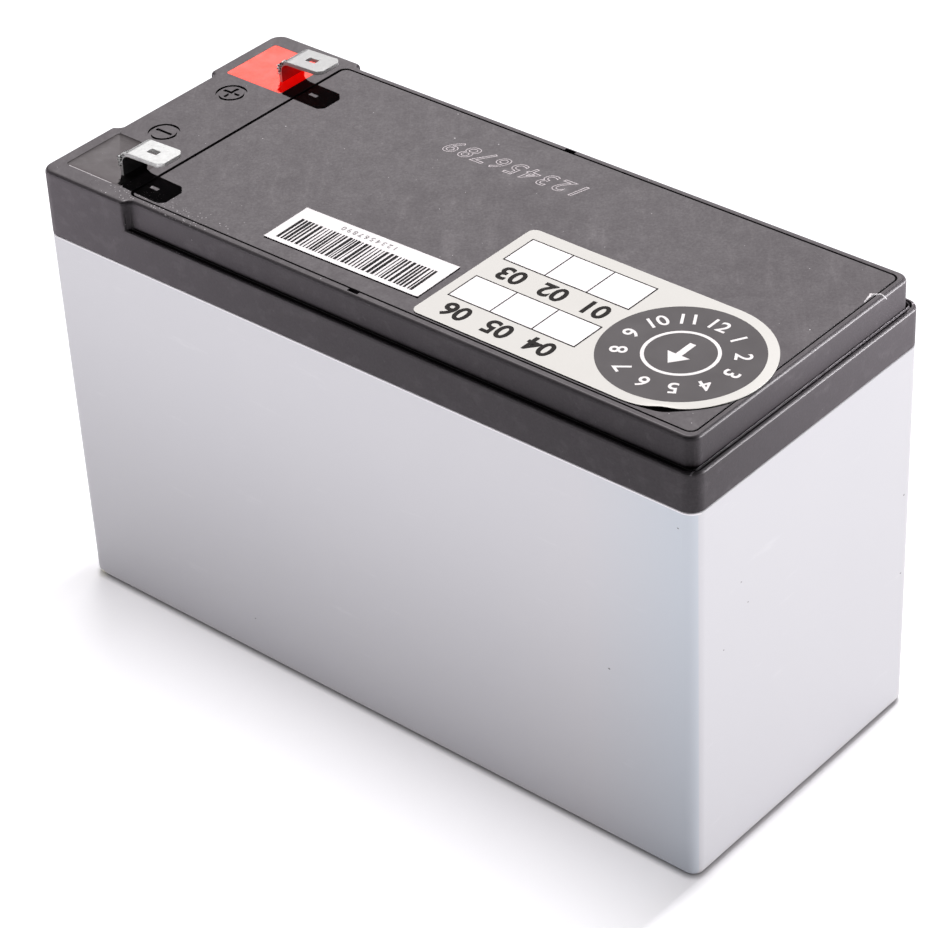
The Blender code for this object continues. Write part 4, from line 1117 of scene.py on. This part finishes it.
def makeDisc(settings, dark, white):
    # dark disc with a thin ring, numbers like a dial's and a plain arrow
    part, ink = settings["disc"], settings["ink"]
    top = spanOf("round_end_label")[5]
    circle = arc(*part["centre"], part["radius"], 0, 360, 120)[:-1]
    rings = [(circle, top - settings["sunk"]), (circle, top + ink * 0.8)]
    dress(loftPiece("darkDisc", rings + [(inset(circle, 0.05), top + ink)]), dark)

    shape = bmesh.new()
    annulus(shape, *part["centre"], *part["ring"], top, top + 2 * ink, 96)
    radius, size = settings["dialNumbers"]
    for number in range(1, 13):
        angle = -270 - 360 * number / 12
        x, y = turned((radius, 0), part["centre"], angle)
        mesh = letterMesh(str(number), size, offset=0.06, thick=0.02)
        addLetters(shape, mesh, x, y, top + ink, angle - 90)
    prism(shape, [turned(p, part["centre"], 180) for p in settings["arrow"]], top, top + 2 * ink)
    return own(makePiece("discPrint", shape, white))


stampSettings = {
    "figures": "123456789",
    "start": (12.7, 19.7),
    "end": (-19.4, 18.6),
    "turn": 182,
    "size": 5.9,
    "line": 0.085,
    "shear": 0.3,
    "flat": 0.3,  # the round line is pressed to this share of its height
    "tones": ((0.40, 0.36, 0.37), (0.72, 0.67, 0.69)),
}


def makeStamp(settings):
    # hot-stamped outline figures on the cover
    top = spanOf("lid")[5]
    finish = makeMottled("stampedLine", 0.5, 1.2, 3, *settings["tones"])
    start, end = Vector(settings["start"]), Vector(settings["end"])
    shape = bmesh.new()
    for i, figure in enumerate(settings["figures"]):
        mesh = letterMesh(figure, settings["size"], line=settings["line"], shear=settings["shear"])
        place = start.lerp(end, (i + 0.5) / len(settings["figures"]))
        addLetters(shape, mesh, *place, top, settings["turn"])
    for vertex in shape.verts:
        vertex.co.z = top + (vertex.co.z - top) * settings["flat"]
    return own(makePiece("stampedFigures", shape, finish))


scuffSettings = {
    "seed": 21,
    "steps": 7,
    "height": 0.22,
    "path": [  # x, y, how far below the lid's top, half width
        (72.4, 19.0, 0, 0.10), (72.2, 20.1, 0, 0.18), (72.0, 21.7, 0, 0.42), (72.6, 22.3, 0, 0.24),
        (73.1, 22.7, 0, 0.15), (73.7, 23.0, 0.2, 0.14), (74.0, 23.4, 0.95, 0.10),
    ],
}


def makeScuff(settings):
    # a curl of white plastic torn up at the far top edge
    rng = random.Random(settings["seed"])
    top = spanOf("lid")[5]
    spots = []
    for before, after in zip(settings["path"], settings["path"][1:]):
        for i in range(settings["steps"]):
            spots.append([a + (b - a) * i / settings["steps"] for a, b in zip(before, after)])
    spots.append(list(settings["path"][-1]))
    shape = bmesh.new()
    rows = []
    for i, (x, y, drop, half) in enumerate(spots):
        before, after = (Vector(spots[j][:2]) for j in (max(i - 1, 0), min(i + 1, len(spots) - 1)))
        across = (after - before).normalized().orthogonal() * half * rng.uniform(0.6, 1.3)
        height = settings["height"] * rng.uniform(0.4, 1.0)
        corners = [(-1, -0.03), (-0.4, height), (0.5, height * rng.uniform(0.4, 1.0)), (1, -0.03)]
        rows.append([
            shape.verts.new((x + across.x * side, y + across.y * side, top - drop + lift))
            for side, lift in corners
        ])
    for a, b in zip(rows, rows[1:]):
        for j in range(4):
            k = (j + 1) % 4
            shape.faces.new((a[j], b[j], b[k], a[k]))
    shape.faces.new(rows[0])
    shape.faces.new(rows[-1][::-1])
    finish = makeMottled("scuffedPlastic", 0.6, 0.3, 3, (0.72, 0.71, 0.71), (0.97, 0.96, 0.96))
    return own(makePiece("edgeScuff", shape, finish))


whitePaper = makePaperFinish("whitePaper", (0.93, 0.93, 0.92), (0.86, 0.86, 0.85), 0.55)
creamFilm = makePaperFinish("creamFilm", (0.785, 0.80, 0.745), (0.70, 0.715, 0.66), 0.62)
boxWhite = makePaperFinish("boxWhite", (0.93, 0.93, 0.93), (0.88, 0.88, 0.87), 0.5, fibre=0.008)
barInk = makeInkFinish("barInk", (0.012, 0.012, 0.013), (0.20, 0.20, 0.20))
figureInk = makeInkFinish("figureInk", (0.022, 0.021, 0.020), (0.16, 0.155, 0.14))
discInk = makeInkFinish("discInk", (0.038, 0.034, 0.035), (0.060, 0.055, 0.056), 0.66, 0.42)
smallInk = makeInkFinish("smallInk", (0.42, 0.42, 0.42), (0.66, 0.66, 0.66))
discWhite = makePaperFinish("discWhite", (0.86, 0.86, 0.84), (0.72, 0.72, 0.70), 0.5, fibre=0.006)

makeStrip(labelSettings, whitePaper)
makeBars(labelSettings, barInk)
makeSmallRow(labelSettings, smallInk)
makeRoundLabel(labelSettings, creamFilm)
makeBoxes(labelSettings, boxWhite, figureInk)
makeRowFigures(labelSettings, figureInk)
makeDisc(labelSettings, discInk, discWhite)
makeStamp(stampSettings)
makeScuff(scuffSettings)
print("stage 7: labels and print")


insideSettings = {
    "positiveLead": ((0.16, 0.09, 0.06), (0.27, 0.17, 0.12), 0.65, 0.35),
    "negativeLead": ((0.26, 0.27, 0.29), (0.42, 0.43, 0.45), 0.55, 0.75),
    "glassFelt": ((0.74, 0.74, 0.72), (0.90, 0.90, 0.88), 0.95, 0.0),
    "blackRubber": ((0.012, 0.012, 0.012), (0.035, 0.034, 0.033), 0.75, 0.0),
}


def makeInsideFinish(name, settings):
    low, high, roughness, metallic = settings[name]
    finish = Finish(name, Metallic=metallic)
    cloud = finish.noise(4.0, 4, 0.65)
    grain = finish.noise(0.5, 3, 0.7)
    tone = finish.blend((cloud * 0.7 + grain * 0.4).clamp(), low, high)
    skin = finish.skin((grain, 0.06, 0.6), (finish.cells(1.4), 0.05, 0.3))
    return finish.feed(Base_Color=tone, Roughness=roughness - 0.08 + 0.16 * cloud, Normal=skin)


insideFinish = {name: makeInsideFinish(name, insideSettings) for name in insideSettings}
insideKinds = {
    "positive_group": "positiveLead",
    "negative_group": "negativeLead",
    "felt_wrap": "glassFelt",
    "vent_cap": "blackRubber",
    "positive_sealing": "blackRubber",
    "negative_sealing": "blackRubber",
}
for nodeName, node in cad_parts.items():
    for start, kind in insideKinds.items():
        if nodeName.startswith(start):
            node.data.materials.clear()
            node.data.materials.append(insideFinish[kind])
print("stage 8: inside parts")


lightSettings = {
    "key": {"toLight": (-0.49, 0.56, 0.665), "strength": 4.6, "angle": 1.2, "tone": (1, 0.945, 0.968)},
    "world": {"tone": (0.95, 0.95, 1.0, 1), "dim": 0.012, "seen": 1.1},
    "floorSize": 8000,
    "floorSteps": 16,
    "floorTones": ((0.80, 0.795, 0.81), (0.82, 0.815, 0.83)),
    "glowTones": ((0.985, 0.96, 1.0), (1.0, 0.975, 1.0)),
    "floorGlow": 0.50,
    "paintedContactShadeReach": 1.4,  # how far the painted contact shade under the case's foot reaches
    "shineOnly": ("backRight",),  # seen in gloss alone
    "boxes": {  # place, aim, size, radiance, tone, what it lights
        "overFloor": ((50, 750, 3000), (0, 0, 0), (84, 1800), 130.0, (1, 1, 1), "floor"),
        "leftFloor": ((-495, 563, 3000), (0, 0, 0), (600, 1800), 12.0, (1, 1, 1), "floor"),
        "frontPanel": ((5, -108, 77), (5, -32, 114), (380, 67), 1.62, (0.99, 0.985, 1.0), "case"),
        "endBox": ((300, 90, 150), (75, 0, 50), (240, 200), 4.85, (1.0, 0.995, 0.995), "case"),
        "lidLeft": ((-170, -120, 52), (-75, -32, 86), (90, 30), 16.5, (1.0, 0.91, 1.0), "lid"),
        "lidRight": ((190, 150, 74), (75, 30, 86), (120, 30), 40.0, (1.0, 0.96, 1.0), "lid"),
        "backRight": ((100, 274, 432), (0, 0, 90), (280, 90), 1.35, (0.98, 0.95, 1), "black"),
        "lidEdge": ((96, 26, 102), (74, 26, 90), (76, 6), 5.5, (1.0, 0.97, 1.0), "lid"),
        "frontEdge": ((-274, -335, 340), (0, 0, 90), (120, 120), 0.6, (1, 0.97, 1), "black"),
        "tabTop": ((-380, 420, 520), (-58, 0, 96), (420, 420), 3.0, (1, 1, 1), "tabs"),
        "tabLeft": ((-400, -200, 200), (-58, 0, 96), (260, 160), 1.1, (1, 1, 1), "tabs"),
        "tabFront": ((0, -380, 330), (-58, 0, 96), (260, 160), 3.2, (1, 1, 1), "tabs"),
        "tabEnd": ((330, -60, 300), (-58, 0, 96), (200, 160), 3.2, (1, 1, 1), "tabs"),
    },
}


def makeFloor(settings):
    size, steps = settings["floorSize"] / 2, settings["floorSteps"]
    shape = bmesh.new()
    lines = [size * (2 * i / steps - 1) for i in range(steps + 1)]
    grid = [[shape.verts.new((x, y, -0.01)) for y in lines] for x in lines]
    for a, b in zip(grid, grid[1:]):
        join(shape, b, a, closed=False)
    strength = settings["floorGlow"]
    finish = Finish("paleFloor", Roughness=0.9, Specular_IOR_Level=0.1, Emission_Strength=strength)
    cloud = finish.noise(60, 3, 0.6)
    tone = finish.blend(cloud, *settings["floorTones"])
    glow = finish.blend(cloud, *settings["glowTones"])
    reach = {"Distance": settings["paintedContactShadeReach"] * mm}
    near = finish.node("ShaderNodeAmbientOcclusion", {"samples": 8}, reach, 1)
    glow = finish.blend((near * 1.2 - 0.2).clamp(), (0.0, 0.0, 0.0), glow)  # painted contact shade under the foot: the floor's glow fades where ambient occlusion finds the case
    floor = makePiece("studioFloor", shape, finish.feed(Base_Color=tone, Emission_Color=glow))
    return floor


def makeLamp(name, kind, toLight, tone, pieces):
    # a lamp that lights only the given pieces
    data = bpy.data.lights.new(name, kind)
    data.color = tone
    lamp = bpy.data.objects.new(name, data)
    lamp.rotation_euler = Vector(toLight).to_track_quat("Z", "Y").to_euler()
    group = bpy.data.collections.new(name + "Lit")
    for piece in pieces:
        group.objects.link(piece)
    lamp.light_linking.receiver_collection = group
    bpy.context.scene.collection.objects.link(lamp)
    return lamp


def makeSun(name, toLight, strength, angle, tone, pieces):
    data = makeLamp(name, "SUN", toLight, tone, pieces).data
    data.energy = strength
    data.angle = math.radians(angle)


def makeSoftbox(name, place, aim, size, radiance, tone, pieces):
    # a flat lamp; its power follows from how bright its face is
    place = Vector(place)
    lamp = makeLamp(name, "AREA", place - Vector(aim), tone, pieces)
    lamp.location = place * mm
    lamp.visible_camera = False
    data = lamp.data
    data.shape = "RECTANGLE"
    data.size, data.size_y = size[0] * mm, size[1] * mm
    data.energy = radiance * math.pi * data.size * data.size_y
    return lamp


def makeWorld(settings):
    # white behind everything, but hardly any light from it
    world = bpy.data.worlds.new("paleSurround")
    bpy.context.scene.world = world
    world.use_nodes = True
    graph = Graph(world.node_tree)
    dim = graph.node("ShaderNodeBackground", None, {0: settings["tone"], 1: settings["dim"]})
    white = graph.node("ShaderNodeBackground", None, {0: (1, 1, 1, 1), 1: settings["seen"]})
    seen = graph.node("ShaderNodeLightPath")
    mix = graph.node("ShaderNodeMixShader", None, {0: seen, 1: dim, 2: white})
    world.node_tree.links.new(mix.socket, world.node_tree.nodes["World Output"].inputs[0])


floor = makeFloor(lightSettings)
shown = {o.name: o for o in bpy.context.scene.objects if o.type == "MESH" and o is not floor}
tabs = [piece for name, piece in shown.items() if "PushTab" in name or "TabBurr" in name]
case = [shown["caseBody"], shown["caseSpecks"]]
lid = [piece for piece in shown.values() if piece not in case + tabs]
receivers = {
    "case": case, "tabs": tabs, "lid": lid, "sunlit": case + lid, "floor": [floor],
    "black": [shown["lidBody"], shown["ventCover"]],
}

makeSun("keySun", **lightSettings["key"], pieces=receivers["sunlit"])
for name, (*given, lit) in lightSettings["boxes"].items():
    box = makeSoftbox(name, *given, receivers[lit])
    box.visible_diffuse = name not in lightSettings["shineOnly"]
makeWorld(lightSettings["world"])

cameraSettings = {
    "azimuth": 42.05,
    "elevation": 35.09,
    "roll": -3.05,
    "focal": 3336.0,  # pixels for a frame 928 pixels wide
    "frame": 928,
    "offset": (-4.25, 32.48),
    "distance": 645.85,
}


def makeCamera(settings):
    a, e, r = (math.radians(settings[k]) for k in ("azimuth", "elevation", "roll"))
    back = Vector((math.sin(a) * math.cos(e), -math.cos(a) * math.cos(e), math.sin(e)))
    right = Vector((math.cos(a), math.sin(a), 0))
    up = back.cross(right)
    right, up = math.cos(r) * right + math.sin(r) * up, -math.sin(r) * right + math.cos(r) * up
    tx, ty = settings["offset"]
    data = bpy.data.cameras.new("photoCamera")
    data.sensor_width = 36
    data.lens = settings["focal"] / settings["frame"] * data.sensor_width
    data.clip_start, data.clip_end = 0.01, 50
    camera = bpy.data.objects.new("photoCamera", data)
    turn = Matrix((right, up, back)).transposed().to_4x4()
    place = tx * right + ty * up + settings["distance"] * back
    camera.matrix_world = Matrix.Translation(place * mm) @ turn
    bpy.context.scene.collection.objects.link(camera)
    bpy.context.scene.camera = camera


makeCamera(cameraSettings)
bpy.context.scene.view_settings.view_transform = "Standard"
print("stage 9: floor, lights and camera")
